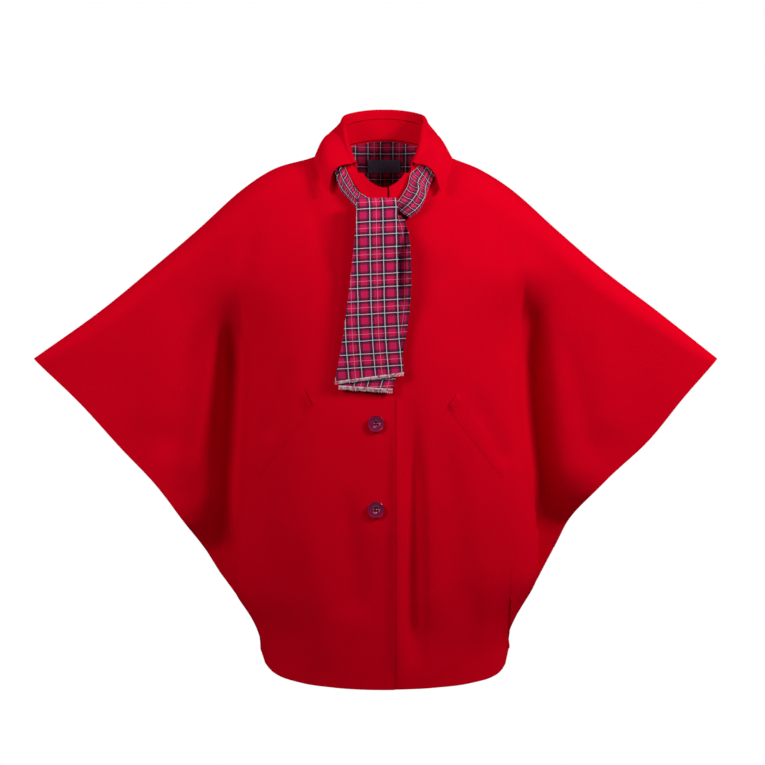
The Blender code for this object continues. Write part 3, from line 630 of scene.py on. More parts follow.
def noise(tree, place, scale, detail=2.0, roughness=0.5, distortion=0.0):
    """Adds a noise and returns its grey value."""
    shape = [("Detail", detail), ("Roughness", roughness), ("Distortion", distortion)]
    made = node(tree, "ShaderNodeTexNoise", [("Vector", place), ("Scale", scale), *shape])
    return made.outputs["Fac"]


def blend(tree, share, first, second, way="MIX"):
    """Adds a mix of two colours and returns its result."""
    links = [(0, share), (6, first), (7, second)]
    return node(tree, "ShaderNodeMix", links, data_type="RGBA", blend_type=way).outputs[2]


def join(tree, shader, colour, height, distance, strength):
    """Gives a shader its colour and a bump. The bump's distance is in metres."""
    bump = node(
        tree, "ShaderNodeBump", [("Height", height), ("Distance", distance), ("Strength", strength)]
    )
    tree.links.new(colour, shader.inputs["Base Color"])
    tree.links.new(bump.outputs["Normal"], shader.inputs["Normal"])


def new_material(name, roughness, sheen=0.0, sheen_tint=(1, 1, 1, 1), sheen_roughness=0.4):
    made = bpy.data.materials.new(name)
    made.use_nodes = True
    shader = made.node_tree.nodes["Principled BSDF"]
    shader.inputs["Roughness"].default_value = roughness
    shader.inputs["Sheen Weight"].default_value = sheen
    shader.inputs["Sheen Tint"].default_value = sheen_tint
    shader.inputs["Sheen Roughness"].default_value = sheen_roughness
    shader.inputs["Specular IOR Level"].default_value = SOFT_GLOSS
    return made, made.node_tree, shader


print("gloss of a soft finish:", SOFT_GLOSS)

# %% [markdown]
# Fine noise in two sizes tilts the surface a little, as the felted fibres do, and a
# wide slow noise varies the dye by a few per cent. Both are kept in one group, so
# that another wool could use them with a colour and values of its own.

# %% The felted surface
FIBRE_SCALE = 900.0
TUFT_SCALE = 260.0
DYE_SCALE = 14.0


def felt_group():
    """Fibre height and dye variation of milled wool, from a place in metres."""
    group, into, out = new_group(
        "milled wool",
        [("Place", "NodeSocketVector", None), ("Colour", "NodeSocketColor", (0.6, 0.0, 0.01, 1)),
         ("Dye change", "NodeSocketFloat", 0.1)],
        [("Colour", "NodeSocketColor"), ("Height", "NodeSocketFloat")],
    )
    place = into.outputs["Place"]
    fibre = noise(group, place, FIBRE_SCALE, 3.0)
    tuft = noise(group, place, TUFT_SCALE, 4.0, 0.65)
    slow = noise(group, place, DYE_SCALE)
    height = sum_node(group, "ADD", fibre, tuft)
    change = sum_node(group, "ADD", sum_node(group, "ADD", tuft, slow), -1.0)
    scaled = sum_node(group, "MULTIPLY", change, into.outputs["Dye change"])
    value = sum_node(group, "ADD", scaled, 1.0)
    tone = node(group, "ShaderNodeHueSaturation", [("Color", into.outputs["Colour"]), ("Value", value)])
    group.links.new(tone.outputs["Color"], out.inputs["Colour"])
    group.links.new(height, out.inputs["Height"])
    return group


FELT = felt_group()


def wool_material(name, colour, dye_change=0.12, bump=0.00025):
    made, tree, shader = new_material(name, 0.95, 0.05, (1.0, 0.0, 0.04, 1), 0.5)
    shader.inputs["Specular IOR Level"].default_value = 0.0
    place = node(tree, "ShaderNodeTexCoord").outputs["Object"]
    felt = node(tree, "ShaderNodeGroup", node_tree=FELT)
    tree.links.new(place, felt.inputs["Place"])
    felt.inputs["Colour"].default_value = colour
    felt.inputs["Dye change"].default_value = dye_change
    join(tree, shader, felt.outputs["Colour"], felt.outputs["Height"], bump, 0.7)
    return made


RED = (0.62, 0.0004, 0.0115, 1)
wool = wool_material("red wool", RED)
print("finish:", wool.name)

# %% [markdown]
# ## The three panels
# The right front laps over the left one, as on a woman's coat, and both are sewn
# to the back along the overarm seams and the short side seams. One closed shell
# would be quicker, but three sheets keep the lap and the open wings true. Each
# grid is fine enough to hold the narrowest fold in the table.

# %% Fronts and back
PANEL_COLUMNS = 108
PANEL_ROWS = 92


def back_skin(across, down):
    signed = 2 * across - 1
    return panel_point(RIGHT if signed < 0 else LEFT, abs(signed), down, False)


panels = {}
for name, side in (("front_right", RIGHT), ("front_left", LEFT)):
    def front_skin(across, down):
        return panel_point(side, across, down, True)

    panels[name] = cloth(
        f"{name}_cloth", PANEL_COLUMNS, PANEL_ROWS, front_skin, wool, from_the_middle, seam=sewn_edge
    )
panels["back"] = cloth(
    "back_cloth", 2 * PANEL_COLUMNS, PANEL_ROWS, back_skin, wool, from_the_middle,
    seam=lambda across, down: sewn_edge(abs(2 * across - 1), down),
)
for name, piece in panels.items():
    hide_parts(name)

# %% [markdown]
# ## The collar
# A stand-and-fall collar is two strips. The stand is sewn to the neck edge and
# rises round the neck. The fall is sewn to the top of the stand, rolls over it and
# lies down on the shoulders, and it stops short of the front, where the stand's
# two ends meet. Both are worked out from one table that goes round the neck.

# %% Table of the collar
# turn from the back, crest in from the neck seam, crest up, height of the outer edge
COLLAR = (
    (0, 0.000, 0.046, -0.008),
    (45, 0.004, 0.047, -0.008),
    (65, 0.013, 0.045, 0.002),
    (90, 0.021, 0.036, 0.0090),
    (105, 0.021, 0.033, -0.0080),
    (115, 0.020, 0.032, -0.0290),
    (126, 0.018, 0.031, -0.0600),
    (143, 0.014, 0.030, -0.066),
    (165, 0.008, 0.029, -0.070),
    (200, 0.004, 0.026, -0.070),
)
print("collar crest at the back:", COLLAR[0][2], "m above the neck seam")

# %% [markdown]
# The fall's outer edge rests on the shoulders, so its radius is where a level line
# out of the neck meets the cape. That distance can't be written down in one line,
# so it is found by halving, and the fall's edge is kept for a few turns only.

# %% Places round the neck
STAND_GAP = 0.0012
FALL_GAP = 0.0009
STAND_SHARE = 0.70
STAND_FULL_FROM = (145, 152)
STAND_END = {RIGHT: 184, LEFT: 174}
FALL_END_TOP = 143
FALL_END_EDGE = 127
FALL_LIFT = 0.0045
SCARF_LIFT = 0.0090
ROLL_WIDTH = 0.0125
FALL_BOW = {RIGHT: (0.010, 0.004), LEFT: (0.006, 0.004)}
SCARF_FROM = 92
SCARF_EASE = 30
LIFT_OUT = 0.8
LIFT_UP = 0.6
END_SLANT = 1.4
END_DELAY = 0.2
BOW_BLEND = 60
RADIUS_RANGE = (0.02, 0.3)
HALVINGS = 18


def ring_radius(side, outward, height):
    """Distance from the neck axis to the cape at a height, in a level direction."""
    across, along = abs(outward.x), abs(outward.y)
    near, far = RADIUS_RANGE
    for _ in range(HALVINGS):
        radius = (near + far) / 2
        if radius * along < depth(side, radius * across, height, outward.y < 0):
            near = radius
        else:
            far = radius
    return near


def collar_base(signed_turn):
    """Neck seam point, level direction out of the neck, and the collar's row there."""
    side = RIGHT if signed_turn < 0 else LEFT
    turn = abs(signed_turn)
    angle = math.radians(turn)
    front = math.cos(angle) < 0
    out = NECK_HALF * math.sin(angle)
    seam = on_body(side, out, neck_height(out, front), front)
    if turn > 90:
        seam.y = min(seam.y, -2 * SEAM_HALF_GAP)
    outward = Vector((seam.x, seam.y, 0)).normalized()
    crest_in, crest_up, edge = (read(COLLAR, 0, value, turn) for value in (1, 2, 3))
    return side, turn, seam, outward, crest_in, crest_up, edge


def fall_lift(turn):
    """The fall lies higher where the scarf passes under it."""
    return FALL_LIFT + SCARF_LIFT * smooth((turn - SCARF_FROM) / SCARF_EASE)


def fall_foot(turn):
    """Radius of the fall's outer edge."""
    side, turn, _, outward, _, _, edge = collar_base(turn)
    return ring_radius(side, outward, edge) + LIFT_OUT * fall_lift(turn)


FALL_FEET = [(turn, fall_foot(turn)) for turn in range(-144, 145, 4)]
print("radius of the fall's edge at the back:", round(read(FALL_FEET, 0, 1, 0), 3), "m")

# %% [markdown]
# Both strips are skins over the pattern's two shares. The stand runs up beside the
# neck. The fall starts inside it, turns over the crest and lies down, and it is
# bowed a little at each side, where it passes over the shoulder.

# %% Skins of the stand and the fall
def stand_skin(across, up):
    """Neck side of the stand, from the neck seam up."""
    turn = mix(-STAND_END[RIGHT], STAND_END[LEFT], across)
    _, turn, seam, outward, crest_in, crest_up, _ = collar_base(turn)
    ease = smooth((turn - STAND_FULL_FROM[0]) / (STAND_FULL_FROM[1] - STAND_FULL_FROM[0]))
    share = mix(STAND_SHARE, 1.0, ease) * up
    point = seam - outward * (WALL + crest_in * share)
    point.z += mix(STAND_GAP, crest_up, share)
    return point


def fall_skin(across, down):
    """Seen side of the fall: up inside the neck, over the crest, down to its edge."""
    end = mix(FALL_END_TOP, FALL_END_EDGE, smooth(down * END_SLANT - END_DELAY))
    signed_turn = mix(-end, end, across)
    _, turn, seam, outward, crest_in, crest_up, edge = collar_base(signed_turn)
    to_left = smooth(0.5 + signed_turn / BOW_BLEND)
    bow_out, bow_up = (mix(FALL_BOW[RIGHT][part], FALL_BOW[LEFT][part], to_left) for part in (0, 1))
    inner = math.hypot(seam.x, seam.y) - WALL - crest_in
    start = mix(STAND_GAP, crest_up, STAND_SHARE) + FALL_GAP
    outer = read(FALL_FEET, 0, 1, signed_turn)
    foot = edge - seam.z + LIFT_UP * fall_lift(turn)
    rolled = inner + ROLL_WIDTH
    # share of the way down, radius, height above the neck seam
    rows = (
        (0.00, inner + crest_in * (1 - STAND_SHARE), start),
        (0.20, inner + 0.28 * ROLL_WIDTH, crest_up + 0.0020),
        (0.30, inner + 0.72 * ROLL_WIDTH, crest_up + 0.0012),
        (0.40, rolled, crest_up - 0.0055),
        (0.70, mix(rolled, outer, 0.42) + bow_out, mix(crest_up, foot, 0.5) + bow_up),
        (1.00, outer, foot),
    )
    radius, height = read(rows, 0, 1, down), read(rows, 0, 2, down)
    return Vector((outward.x * radius, outward.y * radius, seam.z + height))


def from_the_neck(point):
    return Vector((point.x, point.y, 0.01))


print("fall's front corners:", FALL_END_EDGE, "degrees round from the back")

# %% [markdown]
# ## Stand and fall
# The stand faces the neck, so its good side looks inwards, and the fall's good side
# looks out. One strip folded over could stand for both, but a maker sews two. Each
# keeps its own grid, dense enough to roll without corners.

# %% Stand and fall
stand = cloth("collar_stand_cloth", 150, 10, stand_skin, wool, lambda point: -from_the_neck(point))
fall = cloth("collar_fall_cloth", 170, 40, fall_skin, wool, from_the_neck)
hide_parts("collar_stand")
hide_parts("collar_fall")

# %% [markdown]
# ## Tartan
# A tartan is one list of coloured stripes, used for both the warp and the weft.
# Here the list is charted in millimetres: a white line between two dark
# ones about every 2 cm, crimson between them, and a thin pink line in every second
# crimson band. A picture of the cloth would blur close up, but a list stays sharp.

# %% Stripes of the tartan
TARTAN_REPEAT = 0.039
WHITE = (0.78, 0.66, 0.72, 1)
DARK = (0.008, 0.009, 0.018, 1)
PURPLE = (0.110, 0.008, 0.070, 1)
CRIMSON = (0.620, 0.008, 0.080, 1)
PINK = (0.900, 0.200, 0.300, 1)
# start of each stripe in millimetres, colour
SETT = (
    (0.0, WHITE),
    (0.6, DARK),
    (3.1, PURPLE),
    (5.0, CRIMSON),
    (14.5, PURPLE),
    (16.4, DARK),
    (18.9, WHITE),
    (20.1, DARK),
    (22.4, PURPLE),
    (24.0, CRIMSON),
    (28.9, PINK),
    (29.7, CRIMSON),
    (34.5, PURPLE),
    (36.1, DARK),
    (38.4, WHITE),
)
print("stripes in the tartan:", len(SETT))

# %% [markdown]
# A colour ramp with sharp steps holds the list, once for each direction. The cloth
# is a twill: each yarn passes over two and under two, so a diagonal mask decides
# which of the two colours lies on top. Where a white or pink line crosses darker
# stripes it stays nearly whole, as the eye sees it, so pale lines get a larger share.

# %% Tartan from two colour ramps
YARN = 0.00055
WAVER = 0.0012
WAVER_SCALE = 60.0
DARKER_SHARE = 0.55
PALE_FROM = 0.08
PALE_SHARE = 0.64
FUZZ_SCALE = 700.0


def stripes(group, along):
    """Colour of the list at a place along one direction, in metres."""
    turns = sum_node(group, "MULTIPLY", along, 1 / TARTAN_REPEAT)
    ramp = node(group, "ShaderNodeValToRGB", [("Fac", sum_node(group, "FRACT", turns))])
    ramp.color_ramp.interpolation = "CONSTANT"
    stops = ramp.color_ramp.elements
    stops[0].position, stops[0].color = 0.0, SETT[0][1]
    stops.remove(stops[1])
    for start, colour in SETT[1:]:
        stops.new(start / (1000 * TARTAN_REPEAT)).color = colour
    return ramp.outputs["Color"]


def tartan_group():
    group, into, out = new_group(
        "tartan twill", [("Place", "NodeSocketVector", None)],
        [("Colour", "NodeSocketColor"), ("Height", "NodeSocketFloat")],
    )
    flat = into.outputs["Place"]
    waver = node(group, "ShaderNodeTexNoise", [("Vector", flat), ("Scale", WAVER_SCALE)])
    shift = node(
        group, "ShaderNodeVectorMath", [(0, waver.outputs["Color"]), (1, (0.5, 0.5, 0.5))],
        operation="SUBTRACT",
    )
    small = node(
        group, "ShaderNodeVectorMath", [(0, shift.outputs[0]), ("Scale", WAVER)], operation="SCALE"
    )
    place = node(group, "ShaderNodeVectorMath", [(0, flat), (1, small.outputs[0])], operation="ADD")
    parts = node(group, "ShaderNodeSeparateXYZ", [("Vector", place.outputs[0])])
    warp, weft = parts.outputs["X"], parts.outputs["Y"]
    colours = [stripes(group, along) for along in (warp, weft)]
    yarns = [sum_node(group, "PINGPONG", along, YARN / 2) for along in (warp, weft)]
    steps = sum_node(group, "MULTIPLY", sum_node(group, "ADD", warp, weft), 1 / (4 * YARN))
    over = sum_node(group, "GREATER_THAN", sum_node(group, "FRACT", steps), 0.5)
    light = blend(group, 1.0, *colours, "LIGHTEN")
    deep = blend(group, 1.0, *colours, "DARKEN")
    ground = blend(group, DARKER_SHARE, blend(group, over, *colours), deep)
    green = node(group, "ShaderNodeSeparateColor", [("Color", light)]).outputs[1]
    pale = sum_node(group, "GREATER_THAN", green, PALE_FROM)
    full = blend(group, sum_node(group, "MULTIPLY", pale, PALE_SHARE), ground, light)
    fade = noise(group, flat, FUZZ_SCALE)
    fuzz = node(group, "ShaderNodeMapRange", [("Value", fade), ("To Min", 0.82), ("To Max", 1.12)])
    tone = node(group, "ShaderNodeHueSaturation", [("Color", full), ("Value", fuzz.outputs[0])])
    high = node(group, "ShaderNodeMix", [(0, over), (2, yarns[0]), (3, yarns[1])], data_type="FLOAT")
    scaled = sum_node(group, "MULTIPLY", high.outputs[0], 2 / YARN)
    group.links.new(tone.outputs["Color"], out.inputs["Colour"])
    group.links.new(scaled, out.inputs["Height"])
    return group


TARTAN = tartan_group()


def tartan_material(name):
    made, tree, shader = new_material(name, 0.9, 0.05, (1, 0.8, 0.85, 1), 0.5)
    place = node(tree, "ShaderNodeTexCoord").outputs["UV"]
    weave = node(tree, "ShaderNodeGroup", node_tree=TARTAN)
    tree.links.new(place, weave.inputs["Place"])
    join(tree, shader, weave.outputs["Colour"], weave.outputs["Height"], 0.00015, 0.6)
    return made


tartan = tartan_material("tartan")
print("finish:", tartan.name, "with yarns", YARN * 1000, "mm wide")

# %% [markdown]
# ## Facing and label inside the back neck
# The cape has a facing in the tartan behind the neck, and a woven label on it. Both
# lie flat on the wool. A shrinkwrap could pull them on to it, but then their edges
# would drift. So each point is found by a ray that meets the finished panel.

# %% Rays on to a finished panel
TREES = {}


def lay_on(panel, out, height, lift, from_inside=False):
    """Point that lies on a finished panel, moved off it. out is signed, + on the left."""
    if panel not in TREES:
        data = panels[panel].data
        corners = [vert.co for vert in data.vertices]
        TREES[panel] = BVHTree.FromPolygons(corners, [face.vertices for face in data.polygons])
    start = Vector((out, 0.0 if from_inside else -1.0, height))
    hit, normal, _, _ = TREES[panel].ray_cast(start, Vector((0, 1, 0)))
    if normal.y > 0:
        normal.negate()
    return hit + normal * lift


def to_the_front(point):
    return Vector((0, -1, 0))


print("back panel at the neck: y =", round(lay_on("back", 0.0, 0.0, 0.0, True).y, 3), "m")

# %% [markdown]
# The facing is a shield shape: it follows the neck seam from shoulder to shoulder
# and hangs lowest at the middle. It is cut on the straight grain, so its check runs
# level across the back and isn't bent along the curved edge.

# %% Facing
NECK_INSET = (0.003, 0.002)
FACING_SHIFT = (0.0055, 0.0125)
LINING_GAP = 0.0008
LINING_WALL = 0.001
LINING_TURN = 80
LINING_DEPTH = 0.085
LINING_SIDE_DEPTH = 0.035


def lining_skin(across, down):
    turn = math.radians(mix(-LINING_TURN, LINING_TURN, across))
    out = (NECK_HALF - NECK_INSET[0]) * math.sin(turn)
    fall = mix(LINING_SIDE_DEPTH, LINING_DEPTH, math.cos(turn))
    height = neck_height(out, False) - NECK_INSET[1] - fall * down
    return lay_on("back", out, height, LINING_GAP + LINING_WALL, True)


lining = cloth(
    "back_neck_lining_cloth", 72, 36, lining_skin, tartan, to_the_front, wall=LINING_WALL,
    uv=lambda across, down, point: (point.x + FACING_SHIFT[0], -point.z + FACING_SHIFT[1]),
)
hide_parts("back_neck_lining")

# %% [markdown]
# The label is a dark satin ribbon with its two ends folded under and stitched down,
# so it stands off the facing a little more at its middle. It is left bare. Its fine
# ribs are too small to model, so they are a bump in the finish.

# %% Label, puffed at its middle
LABEL_HALF = 0.026
LABEL_TOP = 0.004
LABEL_DROP = 0.020
LABEL_WALL = 0.0008
LABEL_LIFT = 0.0013
LABEL_PUFF = 0.0004
LABEL_RIB = 0.0003
NAVY, NAVY_LIGHT = (0.080, 0.088, 0.160, 1), (0.150, 0.160, 0.250, 1)


def label_skin(across, down):
    out = mix(-LABEL_HALF, LABEL_HALF, across)
    height = LABEL_TOP - LABEL_DROP * down
    puff = LABEL_PUFF * math.sin(math.pi * across) * math.sin(math.pi * down)
    return lay_on("back", out, height, LINING_GAP + LINING_WALL + LABEL_LIFT + puff, True)


def label_material():
    made, tree, shader = new_material("woven label", 0.55, 0.1)
    shader.inputs["Specular IOR Level"].default_value = 0.35
    place = node(tree, "ShaderNodeTexCoord").outputs["Object"]
    parts = node(tree, "ShaderNodeSeparateXYZ", [("Vector", place)])
    rib = sum_node(tree, "PINGPONG", parts.outputs["Z"], LABEL_RIB)
    tone = blend(tree, noise(tree, place, 1200.0), NAVY, NAVY_LIGHT)
    join(tree, shader, tone, sum_node(tree, "MULTIPLY", rib, 3000.0), 0.0001, 0.5)
    return made


label = cloth(
    "label_cloth", 36, 14, label_skin, label_material(), to_the_front, wall=LABEL_WALL,
    uv=lambda across, down, point: (point.x, point.z),
)
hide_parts("label")

# %% [markdown]
# ## Pocket welts
# Each front has a slanted pocket closed by a welt, a folded strip of the same wool
# that is stitched down at its two short ends. It is pressed so flat that it only
# shows as a slight step, so its edges are drawn in towards the panel. A bump could
# show that step, but the upper end stands open a little, and that needs real cloth.

# %% Welts
WELT_LENGTH = 0.135
WELT_WALL = 0.0002
WELT_GAP = 0.0001
WELT_PUFF = 0.0004
WELT_GAPE = 0.0022
WELT_EDGES = 4
WELT_MOUTH = 7
WELT_SLOPE = math.radians(52)
WELT_START = {RIGHT: (0.105, -0.374), LEFT: (0.093, -0.374)}
WELT_END = {RIGHT: (0.0133, 0.0296), LEFT: (0.0163, 0.0224)}


def welt_place(side, along, wide):
    """Place on the flat front: along runs down the welt, wide is a share of its end."""
    out = WELT_START[side][0] + along * math.cos(WELT_SLOPE) + WELT_END[side][0] * wide
    return side * out, WELT_START[side][1] - along * math.sin(WELT_SLOPE) + WELT_END[side][1] * wide


welts = {}
for name, side in (("right", RIGHT), ("left", LEFT)):
    def welt_skin(across, down):
        out, height = welt_place(side, WELT_LENGTH * down, across)
        off_edge = smooth(min(across, 1 - across) * WELT_EDGES)
        gape = WELT_GAPE * smooth(1 - down * WELT_MOUTH) * off_edge
        return lay_on(f"front_{name}", out, height, WELT_WALL + WELT_GAP + WELT_PUFF * off_edge + gape)

    welts[name] = cloth(f"pocket_welt_{name}_cloth", 16, 64, welt_skin, wool, to_the_front, wall=WELT_WALL)
    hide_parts(f"pocket_welt_{name}")

# %% [markdown]
# ## The scarf
# The scarf is cut from the same tartan as the facing. It passes round the neck under
# the fall, and its two ends hang in front, one over the other. Cloth that wide can
# only pass under a collar when it is gathered into pleats, so each strand is a
# narrow pleated band, and it opens out again in the hanging ends. One long strip
# could run through it all, but every stretch that shows is easier to fit on its own.

# %% Strands round the neck
# upper turn, upper height, lower turn, lower height, lift, bulge
RIGHT_STRAND = (
    (1.0, 0.062, 1.0, 0.038, 0.0040, 0.000),
    (45, 0.055, 45, 0.030, 0.0040, 0.000),
    (90, 0.037, 90, 0.019, 0.0040, 0.000),
    (115, 0.014, 115, -0.008, 0.0042, 0.001),
    (134, -0.020, 133, -0.050, 0.0055, 0.003),
    (144, -0.038, 142, -0.062, 0.0070, 0.004),
    (152, -0.052, 150, -0.074, 0.0075, 0.004),
    (163, -0.062, 160, -0.088, 0.0070, 0.003),
    (173, -0.066, 171, -0.094, 0.0060, 0.002),
)
LEFT_STRAND = (
    (1.0, 0.062, 1.0, 0.038, 0.0040, 0.000),
    (45, 0.055, 45, 0.030, 0.0040, 0.000),
    (90, 0.037, 90, 0.019, 0.0040, 0.000),
    (117, 0.010, 114, -0.010, 0.0038, 0.000),
    (135, -0.014, 128, -0.038, 0.0036, 0.000),
    (147, -0.026, 134, -0.054, 0.0050, 0.003),
    (154, -0.044, 139, -0.067, 0.0080, 0.008),
    (163, -0.062, 147, -0.082, 0.0090, 0.007),
    (171, -0.076, 157, -0.0935, 0.0080, 0.004),
)
SCARF_WALL = 0.0015
STRAND_CLOTH = 0.050
STRAND_RUN = 0.300
PLEATS = 5
PLEAT_DEPTH = 0.35


def beside_neck(signed_turn, height, lift):
    """Point outside the stand or, below the neck seam, outside the cape."""
    side, _, seam, outward, crest_in, crest_up, _ = collar_base(signed_turn)
    if height >= seam.z:
        radius = math.hypot(seam.x, seam.y) - crest_in * min(1.0, (height - seam.z) / crest_up)
    else:
        radius = ring_radius(side, outward, height)
    radius += lift
    return Vector((outward.x * radius, outward.y * radius, height)), outward


def strand_skin(side, rows):
    """Seen side of a strand. across runs from its upper to its lower edge."""
    count = len(rows) - 1
    numbered = [(i / count, *row) for i, row in enumerate(rows)]

    def skin(across, down):
        up_turn, up, low_turn, low, lift, bulge = (
            read(numbered, 0, value, down) for value in range(1, 7)
        )
        turn, height = mix(up_turn, low_turn, across), mix(up, low, across)
        point, outward = beside_neck(side * turn, height, lift)
        pleat = PLEAT_DEPTH * math.cos(PLEATS * math.pi * across)
        return point + outward * bulge * (math.sin(math.pi * across) + pleat - PLEAT_DEPTH)

    return skin


for name, side, rows in (("right", RIGHT, RIGHT_STRAND), ("left", LEFT, LEFT_STRAND)):
    cloth(
        f"scarf_strand_{name}_cloth", 24, 90, strand_skin(side, rows), tartan, from_the_neck,
        wall=SCARF_WALL, uv=lambda across, down, point: (across * STRAND_CLOTH, down * STRAND_RUN),
    )
    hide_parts(f"scarf_strand_{name}")

# %% [markdown]
# The front end comes out of the knot, rises over it and then hangs down, and it
# widens on the way. The rear end shows beside and below it, and its free edge curls
# up. Both hang off the draped form, so they follow the chest at a small distance.

# %% Hanging ends
# share, height, one edge, other edge, lift from the front, curl of the other edge
FRONT_TAIL = (
    (0.00, -0.088, -0.030, 0.010, 0.0125, 0.000),
    (0.06, -0.072, -0.037, 0.015, 0.0150, 0.000),
    (0.11, -0.063, -0.0400, 0.0185, 0.0200, 0.000),
    (0.16, -0.069, -0.0405, 0.0200, 0.0265, 0.000),
    (0.25, -0.090, -0.0410, 0.0205, 0.0260, 0.000),
    (0.45, -0.155, -0.0470, 0.0215, 0.0180, 0.000),
    (0.75, -0.255, -0.0600, 0.0240, 0.0120, 0.000),
    (1.00, -0.3205, -0.0725, 0.0290, 0.0094, 0.000),
)
REAR_TAIL = (
    (0.00, -0.080, -0.010, 0.026, 0.0040, 0.000),
    (0.07, -0.095, -0.012, 0.031, 0.0046, 0.000),
    (0.16, -0.115, -0.022, 0.036, 0.0085, 0.006),
    (0.32, -0.154, -0.040, 0.0385, 0.0085, 0.014),
    (0.48, -0.195, -0.045, 0.0390, 0.0080, 0.011),
    (0.64, -0.240, -0.051, 0.0365, 0.0074, 0.002),
    (0.82, -0.295, -0.060, 0.0270, 0.0070, 0.000),
    (1.00, -0.345, -0.067, 0.0125, 0.0068, 0.000),
)
FRONT_TILT = 0.0135
REAR_TILT = -0.005
TILT_FROM = 0.3
CURL_FROM = 0.91
WAVES_ACROSS = 1.4
WAVES_DOWN = 0.3
LINE_INSIDE = {"front": 0.0026, "rear": -0.021}
LINE_LEAN = 0.06


def tail_skin(rows, wave, tilt):
    def skin(across, down):
        height, one, other, lift, curl = (read(rows, 0, value, down) for value in range(1, 6))
        out = mix(one, other, across)
        height -= tilt * (1 - across) * smooth((down - TILT_FROM) / (1 - TILT_FROM))
        lift += curl * smooth((across - CURL_FROM) / (1 - CURL_FROM))
        forward = depth(LEFT if out > 0 else RIGHT, abs(out), height, True)
        turn = 2 * math.pi * (WAVES_ACROSS * across + WAVES_DOWN * down)
        rise = wave * math.sin(turn) * (1 - 0.5 * down)
        return Vector((out, -forward - lift - rise, height))

    return skin


def tail_uv(rows, inside):
    """The pattern's white line runs this far inside the edge on the left."""
    def uv(across, down, point):
        return read(rows, 0, 3, down) - point.x - inside, -point.z + LINE_LEAN * point.x

    return uv


tail_skins = {}
for name, rows, wave, tilt in (
    ("front", FRONT_TAIL, 0.0012, FRONT_TILT),
    ("rear", REAR_TAIL, 0.0008, REAR_TILT),
):
    tail_skins[name] = tail_skin(rows, wave, tilt)
    cloth(
        f"scarf_tail_{name}_cloth", 48, 96, tail_skins[name], tartan, to_the_front,
        wall=SCARF_WALL, uv=tail_uv(rows, LINE_INSIDE[name]),
    )
    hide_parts(f"scarf_tail_{name}")

# %% [markdown]
# ## Fringe
# The scarf's ends are frayed: the last cross threads are pulled out, and the long
# ones hang free. Hair could do this, but a comb of narrow strips stays a plain
# mesh. Its top row stays whole and fuses the threads, and every second strip below
# it is deleted. A seeded random number gives each thread its own length and lean.

# %% Frayed ends
FRINGE_THREADS = 64
FRINGE_ROWS = 8
FRINGE_BACKING = 0.0018
FRINGE_WALL = 0.0009
FRINGE_LENGTHS = {"front": 0.0055, "rear": 0.007}
FRAYED_PALE, FRAYED_RED = (0.80, 0.60, 0.66, 1), (0.50, 0.10, 0.16, 1)
chance = random.Random(7)
THREAD_LENGTHS = [chance.uniform(0.7, 1.0) for _ in range(FRINGE_THREADS)]
THREAD_LEANS = [chance.uniform(-0.0008, 0.0008) for _ in range(FRINGE_THREADS)]


def fringe_skin(tail, length):
    columns = 2 * FRINGE_THREADS - 1

    def skin(across, down):
        thread = min(round(across * columns) // 2, FRINGE_THREADS - 1)
        point = tail(across, 1)
        free = max(0.0, (down - 1 / FRINGE_ROWS) / (1 - 1 / FRINGE_ROWS))
        drop = FRINGE_BACKING * min(1.0, down * FRINGE_ROWS)
        drop += (length - FRINGE_BACKING) * free * THREAD_LENGTHS[thread]
        point.z -= 3 * SEAM_HALF_GAP + drop
        point.x += THREAD_LEANS[thread] * free * free
        point.y -= 0.4 * abs(THREAD_LEANS[thread]) * free
        return point

    return skin


def between_threads(across, down):
    return down > 1 / FRINGE_ROWS and int(across * (2 * FRINGE_THREADS - 1)) % 2 == 1


def fringe_material():
    made, tree, shader = new_material("frayed ends", 0.95, 0.15)
    place = node(tree, "ShaderNodeTexCoord").outputs["Object"]
    coarse = noise(tree, place, 260.0, 1.0)
    limits = [("Value", coarse), ("From Min", 0.42), ("From Max", 0.66)]
    part = node(tree, "ShaderNodeMapRange", limits).outputs[0]
    tone = blend(tree, part, FRAYED_PALE, FRAYED_RED)
    join(tree, shader, tone, noise(tree, place, 2500.0), 0.0001, 0.6)
    return made


frayed = fringe_material()
for name, length in FRINGE_LENGTHS.items():
    threads = fringe_skin(tail_skins[name], length)
    fringe = cloth(
        f"scarf_fringe_{name}_threads", 2 * FRINGE_THREADS - 1, FRINGE_ROWS, threads,
        frayed, to_the_front, wall=FRINGE_WALL, trim=between_threads,
    )
    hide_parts(f"scarf_fringe_{name}")

# %% [markdown]
# ## Buttons
# Four round buttons close the front. They are cast in a plum resin that is cloudy
# inside, so a noise drives both the colour and the gloss. The thread is plain.

# %% Button and thread finishes
PLUM_DARK, PLUM_LIGHT = (0.150, 0.003, 0.030, 1), (0.300, 0.008, 0.075, 1)
THREAD_DARK, THREAD_LIGHT = (0.16, 0.001, 0.010, 1), (0.30, 0.003, 0.020, 1)


def button_material():
    made, tree, shader = new_material("plum button", 0.24)
    shader.inputs["Specular IOR Level"].default_value = 0.5
    shader.inputs["Coat Weight"].default_value = 0.5
    shader.inputs["Coat Roughness"].default_value = 0.12
    place = node(tree, "ShaderNodeTexCoord").outputs["Object"]
    cloud = noise(tree, place, 190.0, 3.0, distortion=1.2)
    tone = blend(tree, cloud, PLUM_DARK, PLUM_LIGHT)
    rough = node(tree, "ShaderNodeMapRange", [("Value", cloud), ("To Min", 0.18), ("To Max", 0.32)])
    tree.links.new(tone, shader.inputs["Base Color"])
    tree.links.new(rough.outputs[0], shader.inputs["Roughness"])
    return made


